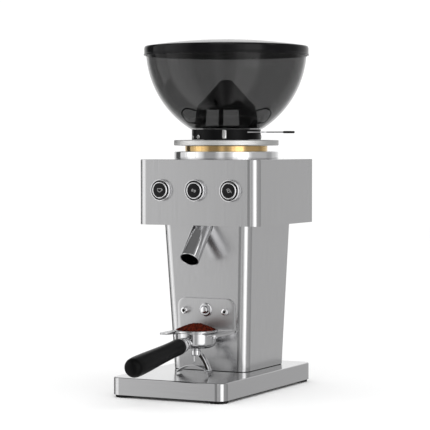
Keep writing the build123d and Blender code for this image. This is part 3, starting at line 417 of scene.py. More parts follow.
def lathe(bm, profile, place, segments=96, shape=None):
    """Revolves a closed profile of (radius, height) about local Z."""
    rings = []
    for radius, height in profile:
        if radius < 1e-6:
            rings.append([bm.verts.new(place @ Vector((0, 0, height)))])
            continue
        ring = []
        for i in range(segments):
            angle = 2 * pi * i / segments
            r, h = shape(angle, radius, height) if shape else (radius, height)
            ring.append(bm.verts.new(place @ Vector((r * cos(angle), r * sin(angle), h))))
        rings.append(ring)
    for low, high in zip(rings, rings[1:] + rings[:1]):
        if len(low) == len(high) == 1:
            continue
        for i in range(segments):
            corners = [low[i % len(low)], low[(i + 1) % len(low)],
                       high[(i + 1) % len(high)], high[i % len(high)]]
            bm.faces.new(list(dict.fromkeys(corners)))


def skin(bm, rings):
    """Faces between each ring of points and the next."""
    for low, high in zip(rings, rings[1:]):
        for i in range(len(low)):
            j = (i + 1) % len(low)
            bm.faces.new((low[i], low[j], high[j], high[i]))


def sweep(bm, path, section, place, closed=False, up=(0, 0, 1)):
    """Carries a section of (sideways, upward) points along a path of local points."""
    points, count = [Vector(p) for p in path], len(path)
    rings = []
    for i, point in enumerate(points):
        if closed:
            along = points[(i + 1) % count] - points[i - 1]
        else:
            along = points[min(i + 1, count - 1)] - points[max(i - 1, 0)]
        along.normalize()
        side = along.cross(Vector(up)).normalized()
        lift = side.cross(along)
        rings.append([bm.verts.new(place @ (point + side * a + lift * b)) for a, b in section])
    skin(bm, rings + rings[:1] if closed else rings)
    if not closed:
        bm.faces.new(rings[0])
        bm.faces.new(rings[-1][::-1])


def rounded_rect(half_w, half_h, radius, steps=3):
    corners = [(-half_w, -half_h, radius), (half_w, -half_h, radius),
               (half_w, half_h, radius), (-half_w, half_h, radius)]
    return soften(corners, steps)


def slab(bm, outline, height, place, edge=0.4):
    """A plate with softened edges, its outline extruded along local Z from 0 to height."""
    count = len(outline)
    middle = Vector((sum(p[0] for p in outline) / count, sum(p[1] for p in outline) / count))
    layers = [(edge, 0), (edge * 0.3, edge * 0.3), (0, edge), (0, height - edge),
              (edge * 0.3, height - edge * 0.3), (edge, height)]
    rings = []
    for inset, z in layers:
        ring = []
        for x, y in outline:
            inward = middle - Vector((x, y))
            inward = inward.normalized() * inset if inward.length else inward
            ring.append(bm.verts.new(place @ Vector((x + inward.x, y + inward.y, z))))
        rings.append(ring)
    skin(bm, rings)
    bm.faces.new(rings[0][::-1])
    bm.faces.new(rings[-1])


def piece(name, bm, finish, body, replaced=(), smooth=38):
    """Turns a bmesh into a finished object that rides on a CAD body."""
    bmesh.ops.recalc_face_normals(bm, faces=bm.faces)
    mesh = bpy.data.meshes.new(name)
    bm.to_mesh(mesh)
    bm.free()
    mesh.materials.append(finishes[finish])
    mesh.shade_smooth()
    mesh.set_sharp_from_angle(angle=radians(smooth))
    made = bpy.data.objects.new(name, mesh)
    bpy.context.scene.collection.objects.link(made)
    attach(made, body)
    if replaced:
        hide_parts(*replaced)
    return made


def turned_piece(name, profile, finish, body, replaced=(), place=None, **options):
    """A lathe-turned piece, by default about the burr axis."""
    bm = bmesh.new()
    lathe(bm, soften(profile), place or placed(spot(0, 0, 0)), **options)
    piece(name, bm, finish, body, replaced)


def thicken(made, thickness, bevel, offset=-1.0):
    """Gives a sheet its thickness and softened edges."""
    solid = made.modifiers.new("sheet", "SOLIDIFY")
    solid.thickness = thickness * MM
    solid.offset = offset
    edge = made.modifiers.new("edges", "BEVEL")
    edge.width = bevel * MM
    edge.segments = 2
    edge.limit_method = "ANGLE"
    edge.angle_limit = radians(40)


def column_front(z):
    """The column's front face at height z, in millimetres from the burr axis."""
    return COLUMN_FRONT_Y - COLUMN_FORWARD * (z - COLUMN_FOOT_Z) / COLUMN_HEIGHT


LEAN = atan(COLUMN_FORWARD / COLUMN_HEIGHT)
FRONT_NORMAL = Vector((0, -cos(LEAN), -sin(LEAN)))


def round_place(angle, radius, z, y=0.0, x_dir=None):
    """On an upright cylinder about (0, y), local Z outward and by default local X round it."""
    turn = radians(angle)
    outward, onward = Vector((cos(turn), sin(turn), 0)), (-sin(turn), cos(turn), 0)
    return placed(spot(radius * cos(turn), y + radius * sin(turn), z), outward, x_dir or onward)


def front_place(x, z, out=0.0):
    """On the slanted column front, local Z outward and local Y up the slope."""
    origin = spot(x, column_front(z), z) + FRONT_NORMAL * out * MM
    return placed(origin, FRONT_NORMAL)


# -------------------------------------- hopper
BOWL_CENTRE_R, BOWL_CENTRE_Z, BOWL_ARC_R, BOWL_WALL = -23.84, 546.3, 153.6, 3.0


def bowl_r(z, arc_r):
    """The bowl's radius at height z; its wall is an arc about a point past the axis."""
    return BOWL_CENTRE_R + sqrt(arc_r ** 2 - (BOWL_CENTRE_Z - z) ** 2)


def make_bowl():
    """The smoked bowl, open at the top, with a hole for the throat in its floor."""
    foot, top, steps = 415.5, 536.5, 44
    inner = BOWL_ARC_R - BOWL_WALL
    outside = [(bowl_r(foot + (top - foot) * i / steps, BOWL_ARC_R), foot + (top - foot) * i / steps)
               for i in range(steps + 1)]
    rise = foot + 2
    inside = [(bowl_r(rise + (top - rise) * i / steps, inner), rise + (top - rise) * i / steps)
              for i in range(steps + 1)]
    outer_r, inner_r, throat_r = outside[-1][0], inside[-1][0], 38
    lip = (outer_r * 0.5 + inner_r * 0.5, top)
    profile = [(throat_r, foot), *outside[:-1], (outer_r - 0.3, top - 0.5), lip,
               (inner_r + 0.3, top - 0.5), *inside[-2::-1], (throat_r, rise)]
    bm = bmesh.new()
    lathe(bm, profile, placed(spot(0, 0, 0)), segments=160)
    piece("hopper_bowl_clear", bm, "smoked_clear", "hopper", ["hopper_bowl"])


def make_lid():
    """A shallow dome with a rolled rim and a small bead at its foot, and its skirt inside the bowl."""
    rim = [(131.4, 549, 2.6), (132.6, 546.4, 1.4), (132.5, 537.6, 0.6), (133.3, 536.6, 0.8),
           (133.3, 534.1, 1.1), (130.5, 534.1, 0.5), (130.5, 536.8, 0.5),
           (123.8, 536.8, 0.5), (123.8, 533.4, 0.9), (121.3, 533.4, 0.9), (121.3, 539.5, 2.0)]
    profile = soften(dome(130.4, 559.9, 549.4) + rim, closed=False)
    profile += dome(118.0, 556.0, 540.0, outward=False)
    bm = bmesh.new()
    lathe(bm, profile, placed(spot(0, 0, 0)), segments=160)
    piece("hopper_lid_moulding", bm, "gloss_black", "lid", ["hopper_lid"])


def make_guard():
    """The finger guard: a blunt cone on a cage with four bean windows, and two finger loops."""
    rows = [(50.5, 417.7), (50.3, 419.7), (50.06, 421.7), (49.2, 430), (48.1, 439), (47.2, 448.3),
            (47.0, 449.5), (46.6, 452.0), (45.6, 454.8), (37.3, 462.8), (24.6, 477.0), (12.4, 490.6),
            (10.2, 493.2), (7.2, 494.9), (3.6, 495.5)]
    window_rows, windows, window_half = range(2, 5), (-120, -79, 79, 120), 15.6
    count, step = 120, 3.0
    axis = radians(26.7)
    place = placed(spot(0, 0, 0))
    bm = bmesh.new()
    turns = [axis + radians(step * i - 180) for i in range(count)]
    grid = [[bm.verts.new(place @ Vector((r * cos(turn), r * sin(turn), z))) for turn in turns]
            for r, z in rows]
    for level in range(len(rows) - 1):
        for i in range(count):
            middle = step * (i + 0.5) - 180
            if level in window_rows and any(abs(middle - window) < window_half for window in windows):
                continue
            j = (i + 1) % count
            bm.faces.new((grid[level][i], grid[level][j], grid[level + 1][j], grid[level + 1][i]))
    crown = bm.verts.new(place @ Vector((0, 0, 495.6)))
    for i in range(count):
        bm.faces.new((grid[-1][i], grid[-1][(i + 1) % count], crown))
    thicken(piece("finger_guard_moulding", bm, "guard_black", "hopper", ["deflector_cone"]), 3.0, 0.7)
    bm = bmesh.new()
    outline = [(-1.2, 4, 1), (11.5, 4.4, 5), (18.6, 12.5, 4), (22.4, 21.6, 5), (15.6, 28.4, 5),
               (-3.2, 24, 2)]
    for side in (0, pi):
        turned = place @ Matrix.Rotation(axis + side, 4, "Z")
        path = [(50.5 + x, 0, 422 + z) for x, z in soften(outline, 6)]
        sweep(bm, path, rounded_rect(1.2, 1.6, 0.8), turned, closed=True, up=(0, 1, 0))
    piece("finger_guard_loops", bm, "guard_black", "hopper")


def make_shutter():
    """The shutter's steel blade, and its moulded grip."""
    z, thick = 409.9, 2.4
    outline = soften([(24.4, -24.8, 1), (74, -24.8, 3), (74, -9, 3), (114, -9, 1), (114, 9, 1),
                      (74, 9, 3), (74, 24.8, 3), (24.4, 24.8, 1)])
    bm = bmesh.new()
    slab(bm, outline, thick - 0.2, placed(spot(0, 0, z + 0.1)), 0.3)
    piece("shutter_blade", bm, "polished_steel", "shutter", ["shutter_plate"])
    bm = bmesh.new()
    grip = [(104.9, -10.4, 2.5), (117.4, -10.4, 3.5), (117.4, 10.4, 3.5), (104.9, 10.4, 2.5)]
    slab(bm, soften(grip), 3.6, placed(spot(0, 0, z - 0.6)), 0.9)
    piece("shutter_grip_moulding", bm, "black_rubber", "shutter", ["shutter_grip"])


# -------------------------------------- ring, thread and collar
def knurl(depth, pitches, rise, wall_r=84.7, from_r=83.5):
    """A diamond knurl between two heights; pitches is the count of crossed lines each way."""
    low, high = rise

    def shape(angle, radius, height):
        if radius < from_r or not low <= height <= high:
            return radius, height
        across = pitches * angle / (2 * pi)
        climb = (height - low) / (2 * pi * wall_r / pitches)
        first = abs((across + climb) % 1 - 0.5) * 2
        second = abs((across - climb) % 1 - 0.5) * 2
        return radius - depth * (1 - min(first, second) ** 0.8), height
    return shape


def make_ring():
    """The adjusting ring with its knurled wall and a fine groove in its top."""
    z0, z1 = 389.7, 398.8
    wall = [(84.6, z0 + 0.9 + (z1 - z0 - 1.8) * i / 16) for i in range(17)]
    profile = [(41.8, z0), (83.2, z0), (84.1, z0 + 0.45), *wall, (84.1, z1 - 0.4), (83.2, z1 - 0.02),
               (60.5, z1), (60.2, z1 - 0.35), (59.7, z1 - 0.35), (59.4, z1), (41.8, z1)]
    bm = bmesh.new()
    knurled = knurl(0.55, 160, (z0 + 1.3, z1 - 1.3))
    lathe(bm, profile, placed(spot(0, 0, 0)), segments=960, shape=knurled)
    piece("adjusting_ring_knurled", bm, "knurled_aluminium", "adjusting_ring", ["adjusting_ring"],
          smooth=60)


def make_thread():
    """The brass carrier's drum with the fine thread that shows below the ring."""
    crest, root, first, pitch = 66.95, 66.35, 381.6, 1.5
    thread = []
    for i in range(5):
        z = first + i * pitch
        thread += [(crest, z), (crest, z + 0.5), (root, z + 0.8), (root, z + 1.2)]
    profile = [(60.1, 371), (66.2, 371), (66.2, 381.2), *thread, (66.9, 388.7), (66.4, 389.3),
               (60.6, 389.3), (60.1, 388.8)]
    turned_piece("burr_carrier_thread", profile, "brass", "burr_carrier", segments=160)


def make_collar():
    """The steel collar on the head: a radiused top edge and a fine groove under it."""
    profile = [(66.5, 367.85), (83.2, 367.85, 0.3), (83.2, 369.0, 0.2), (84.3, 369.0, 0.3),
               (84.3, 379.4, 0.9), (83.4, 380.35, 0.6), (67.0, 380.35, 0.4), (66.5, 379.9, 0.2)]
    turned_piece("lower_collar_turned", profile, "turned_steel", "grinder", ["lower_collar"], segments=160)


def make_neck_trim():
    """The screws and the bright catch on the hopper's foot."""
    screw_r, screw_z, catch_r, catch_z = 55.6, 403.6, 55.4, 407.4
    bm = bmesh.new()
    for angle in (-134, -115, 40, 130):
        screw_head(bm, round_place(angle, screw_r, screw_z, x_dir=(0, 0, 1)), 3.4, 2.6)
    piece("neck_screws", bm, "screw_steel", "hopper")
    bm = bmesh.new()
    slab(bm, rounded_rect(3.2, 7.2, 1.6), 1.7, round_place(-67, catch_r, catch_z), 0.4)
    piece("neck_catch", bm, "screw_steel", "hopper")


# -------------------------------------- screws and buttons
def screw_head(bm, place, radius, height, socket=0.52):
    """A socket-head screw: a rounded head with a six-sided recess."""
    hexagon = radius * socket
    profile = soften([(radius - 0.1, 0), (radius, height * 0.5, 0), (radius, height - radius * 0.13, 1.0),
                      (hexagon + 0.5, height, 0.4), (hexagon, height - 0.4, 0)], closed=False)
    depth = height * 0.7

    def six(angle, r, h):
        if r > hexagon + 0.01:
            return r, h
        flat = cos((angle + pi / 6) % (pi / 3) - pi / 6)
        return r * 0.94 / flat, h

    points = [(0, 0), *profile, (hexagon, height - depth), (0, height - depth - 0.4)]
    lathe(bm, points, place, 48, six)


def button_place(x):
    """On the head's front, local Z outward."""
    return placed(spot(x, HEAD_FRONT_Y, BUTTON_Z), (0, -1, 0))


def make_buttons():
    """Chrome bezels with a deep well, and each cap: a silver ring, a black face, a grey sign."""
    rim = [(15.2, 0.1), (15.2, 5.3, 0.6), (15.7, 6.48, 0.8), (16.7, 6.48, 0.8), (17.35, 5.2, 0.9),
           (17.35, 0.6, 0.3), (16.9, 0.05, 0.2)]
    bm = bmesh.new()
    for x in BUTTON_XS:
        lathe(bm, soften(rim, 5), button_place(x), 96)
    piece("button_bezels_turned", bm, "turned_steel", "grinder", ["button_bezels"])
    well = [(13.5, 0.1), (15.15, 0.1), (15.15, 1.2, 0.3), (13.5, 1.2, 0.3)]
    bm = bmesh.new()
    for x in BUTTON_XS:
        lathe(bm, soften(well), button_place(x), 72)
    piece("button_seals", bm, "black_rubber", "grinder")
    signs = (cup_sign, beans_sign, swirl_sign)
    for name, x, sign in zip(("left", "centre", "right"), BUTTON_XS, signs):
        body, place = "button_" + name, button_place(x)
        ring = [(0, -8.8), (8.3, -8.8), (8.3, 3.2), (13.2, 3.2, 0.3), (13.2, 7.7, 0.8),
                (12.4, 8.45, 0.6), (11.5, 8.45, 0.4), (11.1, 7.8, 0.2), (11.1, 7.3), (0, 7.3)]
        turned_piece(body + "_ring", ring, "turned_steel", body, [body], place, segments=96)
        face = [(0, 7.25), (11.0, 7.25), (11.0, 7.85, 0.3), *dome(10.6, 8.15, 7.9, 6, outward=False)]
        turned_piece(body + "_face", face, "button_black", body, (), place, segments=96)
        bm = bmesh.new()
        sign(bm, place)
        piece(body + "_sign", bm, "icon_grey", body)


def stroke(bm, points, place, closed=False, width=0.42):
    """A raised line on a button's face."""
    path = [(x, y, 8.08) for x, y in points]
    sweep(bm, path, rounded_rect(width, 0.12, 0.1, 1), place, closed)


def arc(x, y, radius, start, end, count=18):
    """Points round a centre, from one angle in degrees to another."""
    turns = [radians(start + (end - start) * i / count) for i in range(count + 1)]
    return [(x + radius * cos(turn), y + radius * sin(turn)) for turn in turns]


def cup_sign(bm, place):
    bowl = [(-3.6, 2.4)] + arc(0, 0.6, 3.4, 190, 350) + [(3.6, 2.4)]
    stroke(bm, bowl, place, closed=True)
    stroke(bm, arc(3.9, 0.8, 1.3, 90, -100), place)


def beans_sign(bm, place):
    for x, y in ((-2.0, 0.6), (2.1, -0.8)):
        oval = [(x + a * 0.75 + b * 0.3, y + b) for a, b in arc(0, 0, 1.7, 0, 340)]
        stroke(bm, oval, place, closed=True)
        stroke(bm, arc(x + 2.4, y, 2.4, 150, 210), place, width=0.25)


def swirl_sign(bm, place):
    turns = [(r * cos(a), r * sin(a)) for r, a in
             ((1.0 + 2.6 * i / 30, radians(40 + 16 * i)) for i in range(31))]
    stroke(bm, turns, place)
    stroke(bm, [(3.4, 0.4), (4.6, -1.2), (5.0, -3.0)], place)


# -------------------------------------- chute, fork and dosing switch
def make_chute():
    """The chute's steel tube with a rolled lip; its upper end is hidden in the head."""
    exit_point, mouth, hidden = spot(0, -82, 264.4), spot(0, -129.4, 212), 15.6 / 1000
    along = (mouth - exit_point).normalized()
    place = placed(exit_point - along * hidden, along)
    length = 86.3
    profile = [(13.8, 0), (15.3, 0), (15.3, length - 0.9, 0.5), (15.1, length - 0.1, 0.4),
               (14.2, length - 0.1, 0.4), (13.9, length - 0.9, 0.4)]
    turned_piece("chute_tube_drawn", profile, "polished_steel", "grinder", ["chute_tube"], place,
                 segments=96)


def fork_outline(s, plate_h):
    """(outer half width, gap half width) of the bracket at distance s from its top edge."""
    outer = FORK_HALF
    if s < FORK_CORNER:
        outer = FORK_HALF - FORK_CORNER + sqrt(max(FORK_CORNER ** 2 - (FORK_CORNER - s) ** 2, 0))
    fork_s = s - plate_h
    length = FORK_END - FORK_ROOT
    if fork_s > length - FORK_TIP:
        reach = min(fork_s - (length - FORK_TIP), FORK_TIP)
        outer = FORK_HALF - FORK_TIP + sqrt(max(FORK_TIP ** 2 - reach ** 2, 0))
    depth = fork_s - (-CUP_Y - FORK_ROOT - FORK_GAP_R)
    gap = 0.0
    if depth > 0:
        left = max(FORK_GAP_R - depth, 0)
        gap = sqrt(FORK_GAP_R ** 2 - left ** 2) if left else FORK_GAP_R
    flare = fork_s - (length - FORK_FLARE)
    if flare > 0:
        gap += FORK_FLARE_OUT * (flare / FORK_FLARE) ** 2
    return outer, gap


def fork_point(x, s, plate_h, top):
    """Bends the flat pattern: down the column front, round the bend, out along the fork."""
    down = Vector((1, 0, 0)).cross(FRONT_NORMAL).normalized()
    level = Vector((0, -1, 0))
    turn = pi / 2 - LEAN
    start = plate_h - FORK_BEND * tan(turn / 2)
    if s <= start:
        return top + down * s * MM + Vector((x * MM, 0, 0))
    corner = top + down * start * MM
    arc_length = FORK_BEND * turn
    t = min((s - start) / arc_length, 1) * turn
    centre_point = corner + FRONT_NORMAL * FORK_BEND * MM
    point = centre_point + (-FRONT_NORMAL * cos(t) + down * sin(t)) * FORK_BEND * MM
    rest = s - start - arc_length
    if rest > 0:
        point += level * rest * MM
    return point + Vector((x * MM, 0, 0))


def round_switch_hole(x, s, hole=6.4, reach=12.0):
    """Pushes the flat pattern's points near the dosing switch outward, to open its hole."""
    away = hypot(x, s)
    if not 0.01 < away < reach:
        return x, s
    grow = (hole + away * (reach - hole) / reach) / away
    return x * grow, s * grow


def make_fork():
    """One bent steel sheet: a plate on the column front and a fork for the portafilter."""
    plate_h = (FORK_TOP_Z - FORK_Z) / cos(LEAN)
    top = spot(0, column_front(FORK_TOP_Z), FORK_TOP_Z)
    turn = pi / 2 - LEAN
    # the bend shortens the sheet by the difference between its corner and its arc
    saved = 2 * FORK_BEND * tan(turn / 2) - FORK_BEND * turn
    length = FORK_END - FORK_ROOT + plate_h
    gap_start = plate_h - CUP_Y - FORK_ROOT - FORK_GAP_R
    gap_end, flare_start = gap_start + FORK_GAP_R, length - FORK_FLARE
    # distances from the top edge at which the pattern has a row of points
    marks = [FORK_CORNER * (1 - cos(pi / 2 * i / 8)) for i in range(9)]
    marks += [plate_h * i / 14 for i in range(4, 15)]
    marks += [gap_start + FORK_GAP_R * (1 - cos(pi / 2 * i / 20)) for i in range(21)]
    marks += [flare_start + FORK_FLARE * i / 6 for i in range(7)]
    marks += [length - FORK_TIP + FORK_TIP * sin(pi / 2 * i / 8) for i in range(9)]
    marks += [gap_end + (flare_start - gap_start - FORK_GAP_R) * i / 4 for i in range(5)]
    switch_s = round((FORK_TOP_Z - SWITCH_Z) / cos(LEAN), 3)
    rows = sorted({round(mark, 3) for mark in marks + [switch_s] if mark <= length})
    bm = bmesh.new()
    across = 10
    for side in (-1, 1):
        lines = []
        for s in rows:
            outer, gap = fork_outline(s, plate_h)
            if s > gap_start and gap < 0.5:
                gap = 0.5
            flat_s = s if s < plate_h else s - saved * min((s - plate_h) / 6, 1)
            line = []
            for i in range(across + 1):
                x = side * (gap + (max(outer, gap + 0.4) - gap) * i / across)
                x, hole_s = round_switch_hole(x, flat_s - switch_s)
                line.append(bm.verts.new(fork_point(x, switch_s + hole_s, plate_h, top)))
            lines.append(line)
        middle = rows.index(switch_s)
        for k, (low, high) in enumerate(zip(lines, lines[1:])):
            for i in range(across):
                if i == 0 and k in (middle - 1, middle):
                    continue
                corners = (low[i], low[i + 1], high[i + 1], high[i])
                bm.faces.new(corners if side > 0 else corners[::-1])
    bmesh.ops.remove_doubles(bm, verts=bm.verts, dist=0.00002)
    bmesh.ops.delete(bm, geom=[v for v in bm.verts if not v.link_faces], context="VERTS")
    # the sheet is the bracket's back surface, so its normals face forward before it is thickened
    made = piece("fork_bracket_bent", bm, "fork_steel", "grinder", ["fork_bracket"])
    plate_face = min(made.data.polygons, key=lambda face: abs(face.center.z - 0.125))
    if plate_face.normal.y > 0:
        made.data.flip_normals()
    thicken(made, FORK_THICK, 0.8, offset=1.0)


def make_switch():
    """The two long socket screws, and the dosing switch between them."""
    bm = bmesh.new()
    for x in FORK_SCREW_XS:
        screw_head(bm, front_place(x, FORK_SCREW_Z, FORK_THICK), 5.55, 7.4, 0.46)
    piece("fork_screw_heads", bm, "turned_steel", "grinder", ["fork_screws"])
    # black discs down in the two screws' recesses: painted shade in the sockets
    socket = [(0, 2.4), (2.3, 2.4), (2.3, 3.6), (0, 3.9)]
    bm = bmesh.new()
    for x in FORK_SCREW_XS:
        lathe(bm, socket, front_place(x, FORK_SCREW_Z, FORK_THICK), 24)
    piece("fork_screw_socket_shade", bm, "dark_fill_and_painted_shade", "grinder")
    place = front_place(0, SWITCH_Z, FORK_THICK)
    ring = [(5.6, -3), (5.6, 2.2, 0.4), (6.2, 2.55, 0.4), (9.2, 2.55, 1.4), (10.9, 1.2, 0.8),
            (10.9, 0, 0.2), (7.1, 0), (7.1, -3)]
    turned_piece("dosing_switch_ring", ring, "polished_steel", "grinder", ["dosing_switch_bezel"], place)
    stem = [(0, -2.2), (5.3, -2.2), (5.3, 7.4, 1.4), *dome(4.2, 8.45, 7.9, 5, outward=False)]
    turned_piece("dosing_switch_tip", stem, "turned_steel", "dosing_plunger",
                 ["dosing_switch_plunger"], place)


# -------------------------------------- portafilter
def basket_place():
    """The portafilter's own upright axis, from the floor."""
    return placed(spot(0, CUP_Y, 0))


def handle_place(distance):
    """Square to the drooping handle, local Z towards its end."""
    droop = radians(7.0)
    along = Vector((0, -cos(droop), -sin(droop)))
    start = spot(0, CUP_Y - CUP_R, 82.2) - along * (CUP_R / 1000)
    return placed(start + along * distance * MM, along)


def make_portafilter():
    """The cast body with its ears and boss, two thin black strips of painted shade on its front, the
    basket, the collar and the grip.
    """
    bm = bmesh.new()
    shell = [(4, 72.1), (23, 72.1, 6), (32.3, 77.5, 7), (32.3, 96.6, 1.0), (32.9, 97.4, 0.4),
             (34.9, 97.4, 0.6), (34.9, 99.8, 0.5), (29.3, 99.8, 0.3), (29.3, 76, 2), (4, 76)]
    lathe(bm, soften(shell, 6), basket_place(), 128)
    for side in (-1, 1):
        ear = [(side * 30, -7.5, 0), (side * 36.4, -7.5, 3), (side * 36.4, 7.5, 3), (side * 30, 7.5, 0)]
        slab(bm, soften(ear), 4.6, placed(spot(0, CUP_Y, 88.2)), 0.8)
    boss = [(0, 0), (9.4, 0), (9.4, 6.5, 0.5), (8.6, 9.0, 0.8), (0, 9.0)]
    lathe(bm, soften(boss), handle_place(29.5), 64)
    # two thin black strips on the body's front: painted shade, standing for the shadows at the sides of a
    # small lug
    shade_r, shade_z = 32.05, 89.4
    lug_shade_strips = bmesh.new()
    for angle in (-78.6, -73.4):
        slab(lug_shade_strips, rounded_rect(1.0, 6.0, 0.9), 0.5, round_place(angle, shade_r, shade_z, CUP_Y), 0.15)
    piece("portafilter_lug_painted_shade", lug_shade_strips, "black_paint", "portafilter")
    piece("portafilter_body_cast", bm, "polished_steel", "portafilter", ["portafilter_body"])
    cup = [(0, 78.0), (27, 78.0, 3), (28.55, 81, 2), (28.55, 99.7, 0.3), (34.7, 99.95, 0.2),
           (34.95, 100.5, 0.4), (34.4, 100.95, 0.3), (29.2, 100.95, 1.2), (27.8, 99.4, 0.8),
           (27.8, 79.5, 2), (0, 78.8)]
    turned_piece("portafilter_basket_drawn", cup, "polished_steel", "portafilter", ["portafilter_basket"],
                 basket_place(), segments=128)
    nut = [(0, 0), (7.9, 0, 0.3), (7.9, 4.6, 0.3), (11.4, 5.2, 0.9), (11.4, 10.4, 0.9),
           (9.9, 11.0, 0.4), (9.9, 12.0, 0.3), (12.4, 17.4, 0.5), (0, 17.4)]
    turned_piece("portafilter_collar", nut, "polished_steel", "portafilter", ["portafilter_ferrule"],
                 handle_place(38.5), segments=96)
    length = 156.0
    grip = [(0, 0), (11.6, 0, 0), (12.6, 0.9, 0.8), (12.9, 6, 3), (12.6, 26, 12), (13.3, 62, 20),
            (15.2, 112, 20), (15.45, 138, 10), (14.7, 149.1, 6), (9.5, 154.6, 4),
            *dome(6.0, length, 155.5, 5, outward=False)]
    turned_piece("portafilter_grip", grip, "handle_black", "portafilter", ["portafilter_handle"],
                 handle_place(56), segments=96)


def spout_arcs(points, count=16):
    """Points of the circle through three given points, from the first to the last."""
    (ax, ay), (bx, by), (cx, cy) = points
    d = 2 * (ax * (by - cy) + bx * (cy - ay) + cx * (ay - by))
    a, b, c = ax**2 + ay**2, bx**2 + by**2, cx**2 + cy**2
    ux = (a * (by - cy) + b * (cy - ay) + c * (ay - by)) / d
    uy = (a * (cx - bx) + b * (ax - cx) + c * (bx - ax)) / d
    radius = hypot(ax - ux, ay - uy)
    angles = [atan2(y - uy, x - ux) for x, y in points]
    for i in (1, 2):
        while angles[i] - angles[i - 1] > pi:
            angles[i] -= 2 * pi
        while angles[i] - angles[i - 1] < -pi:
            angles[i] += 2 * pi
    turns = [angles[0] + (angles[2] - angles[0]) * i / count for i in range(count + 1)]
    return [(ux + radius * cos(turn), uy + radius * sin(turn)) for turn in turns]


def trough(bm, back, floor, half, wall, place):
    """An open trough between its back edge and its floor, both lists of (x, z)."""
    rings = []
    for (bx, bz), (fx, fz) in zip(back, floor):
        outward = Vector((bx - fx, 0, bz - fz))
        depth = outward.length
        outward.normalize()
        inner = half - wall
        section = [(-half, depth - 0.4), (-half, 1.2), (-half + 1.2, 0), (half - 1.2, 0),
                   (half, 1.2), (half, depth - 0.4), (half - 0.4, depth), (inner + 0.2, depth),
                   (inner, depth - 0.3), (inner, wall + 0.8), (inner - 0.8, wall),
                   (0.8 - inner, wall), (-inner, wall + 0.8), (-inner, depth - 0.3),
                   (-inner - 0.2, depth), (0.4 - half, depth)]
        ring = [place @ Vector((fx + outward.x * b, a, fz + outward.z * b)) for a, b in section]
        rings.append([bm.verts.new(p) for p in ring])
    skin(bm, rings)
    bm.faces.new(rings[0])
    bm.faces.new(rings[-1][::-1])


def make_spout():
    """An open trough from a short neck, a thin arched drip guard, a centre pin and a dark lining in the
    trough.
    """
    place = basket_place()
    bm = bmesh.new()
    back = spout_arcs([(11, 65), (18.6, 53.6), (26.9, 33.3)])
    floor = spout_arcs([(4.5, 61), (13, 51.4), (21.9, 33.3)])
    trough(bm, back, floor, 4.9, 1.0, place)
    crown = spout_arcs([(-28.1, 34.1), (0, 45.8), (28.1, 34.1)], 28)
    sweep(bm, [(x, -5, z) for x, z in crown], rounded_rect(8.8, 0.75, 0.4), place)
    neck = [(5.0, 60.1), (6.7, 60.1, 0.8), (7.5, 61.4, 0.8), (7.5, 68.4, 0.4), (6.7, 69.0, 0.3),
            (6.7, 69.8, 0.3), (7.5, 70.4, 0.4), (7.5, 71.9, 0.2), (5.0, 71.9)]
    lathe(bm, soften(neck), place, 64)
    pin = [(0, 48.6), (0.9, 48.7, 0.5), (1.35, 50.2, 0.5), (1.35, 64.5), (0, 64.5)]
    lathe(bm, soften(pin), placed(spot(-2.6, CUP_Y, 0)), 24)
    piece("portafilter_spout_open", bm, "polished_steel", "portafilter", ["portafilter_spout"], smooth=50)
    bm = bmesh.new()
    # the dark lining: a near-black strip just above the trough's floor, and a near-black sheet on its near
    # side, clear of its edges
    path, outer, inner = [], [], []
    for (bx, bz), (fx, fz) in list(zip(back, floor))[1:-1]:
        across = Vector((bx - fx, bz - fz)).normalized()
        path.append((fx + across.x * 1.1, 0, fz + across.y * 1.1 + 0.2))
        edge = across * 1.2
        outer.append((bx - edge.x, bz - edge.y))
        inner.append((fx + edge.x, fz + edge.y))
    sweep(bm, path, rounded_rect(3.4, 0.25, 0.2, 2), place)
    outline = outer + inner[::-1]
    layers = [[bm.verts.new(place @ Vector((x, y, z))) for x, z in outline] for y in (-4.6, -5.0)]
    count, half = len(outline), len(outer)
    skin(bm, layers)
    for layer in layers:
        for i in range(half - 1):
            bm.faces.new((layer[i], layer[i + 1], layer[count - 2 - i], layer[count - 1 - i]))
    piece("spout_channel", bm, "dark_fill_and_painted_shade", "portafilter")


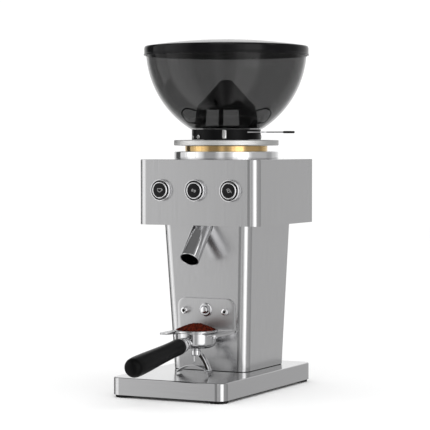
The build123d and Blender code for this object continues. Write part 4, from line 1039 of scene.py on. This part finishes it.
def make_coffee():
    """A grainy heap of grounds, rough all over, with loose grains on it."""
    rng = random.Random(7)
    place = basket_place()
    top = [(31.0, 100.98), (30.4, 101.6), (27.5, 103.0), (23.5, 104.6), (19.5, 106.1),
           (15.5, 107.6), (11.5, 109.0), (7.5, 110.1), (4.0, 110.7), (1.5, 110.9)]
    fine = []
    for (r0, z0), (r1, z1) in zip(top, top[1:]):
        fine += [(r0 + (r1 - r0) * i / 4, z0 + (z1 - z0) * i / 4) for i in range(4)]
    profile = [(0, 90.5), (27.6, 90.5), (27.6, 101.0), *fine, (1.5, 110.9), (0, 110.95)]

    def grain(angle, r, h):
        if h < 101.2 or r < 0.5:
            return r, h
        where = Vector((r * cos(angle), r * sin(angle), h))
        rough = noise.noise(where * 0.9) * 0.55 + noise.noise(where * 0.28) * 0.9
        return r, min(max(h + rough, 101.0), 111.3)

    bm = bmesh.new()
    lathe(bm, profile, place, 150, grain)
    heap_r, rim_z, peak_z, loose_grains = 31, 101.3, 110.6, 900
    for _ in range(loose_grains):
        reach, turn = 30.6 * sqrt(rng.random()), rng.random() * 2 * pi
        height = rim_z + (peak_z - rim_z) * (1 - reach / heap_r) ** 0.86
        size = rng.uniform(0.35, 0.85)
        spin = Matrix.Rotation(rng.random() * pi, 4, Vector((rng.random(), rng.random(), 1)))
        at = Vector((reach * cos(turn), reach * sin(turn), min(height, 110.4) + rng.uniform(-0.2, 0.1)))
        flat = Matrix.Diagonal((size, size * rng.uniform(0.5, 1), size * 0.7, 1))
        local = place @ Matrix.Translation(at) @ spin @ flat
        bmesh.ops.create_icosphere(bm, subdivisions=1, radius=1.0, matrix=local)
    piece("ground_coffee_heap", bm, "coffee", "portafilter", ["ground_coffee"], smooth=20)


# -------------------------------------- feet and back
def make_feet():
    """Ribbed rubber feet, a foot's radius in from the corners of the feet's box."""
    low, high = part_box("base_feet")
    inset = 15.0 * MM
    bm = bmesh.new()
    top = high.z / MM - 0.05
    foot = [(0, 0.02), (13.6, 0.02, 0.3), (14.9, 0.9, 0.4), (14.4, 1.3, 0.1), (14.9, 1.7, 0.2),
            (14.9, top), (0, top)]
    for x in (low.x + inset, high.x - inset):
        for y in (low.y + inset, high.y - inset):
            lathe(bm, soften(foot), placed(Vector((x, y, 0))), 48)
    piece("rubber_feet", bm, "black_rubber", "grinder", ["base_feet"])


def make_back_screws():
    """Socket screws down both sides of the service panel, on the column's leaning back."""
    bm = bmesh.new()
    lean = atan(6.0 / COLUMN_HEIGHT)
    outward = Vector((0, cos(lean), -sin(lean)))
    for z in (48.0, 149.0, 250.0):
        t = (z - COLUMN_FOOT_Z) / COLUMN_HEIGHT
        half, back = 66.4 + t * 10.4, 72.0 + t * 6.0
        for side in (-1, 1):
            place = placed(spot(side * (half - 10), back, z) + outward * 1.2 * MM, outward, (-1, 0, 0))
            screw_head(bm, place, 3.2, 1.8)
    piece("back_screw_heads", bm, "screw_steel", "grinder", ["back_panel_screws"])


def make_pieces():
    for make in (make_bowl, make_lid, make_guard, make_shutter, make_ring, make_thread, make_collar,
                 make_neck_trim, make_buttons, make_chute, make_fork, make_switch, make_portafilter,
                 make_spout, make_coffee, make_feet, make_back_screws):
        make()


bpy.context.scene.view_settings.view_transform = "Standard"
make_camera()
make_world()
make_lights()
make_floor()
finishes = make_materials()
for row in frame["record"]["subparts"]:
    mesh = nodes[row["node"]].data
    mesh.materials.clear()
    mesh.materials.append(finishes[row["material_slot"]])
make_pieces()
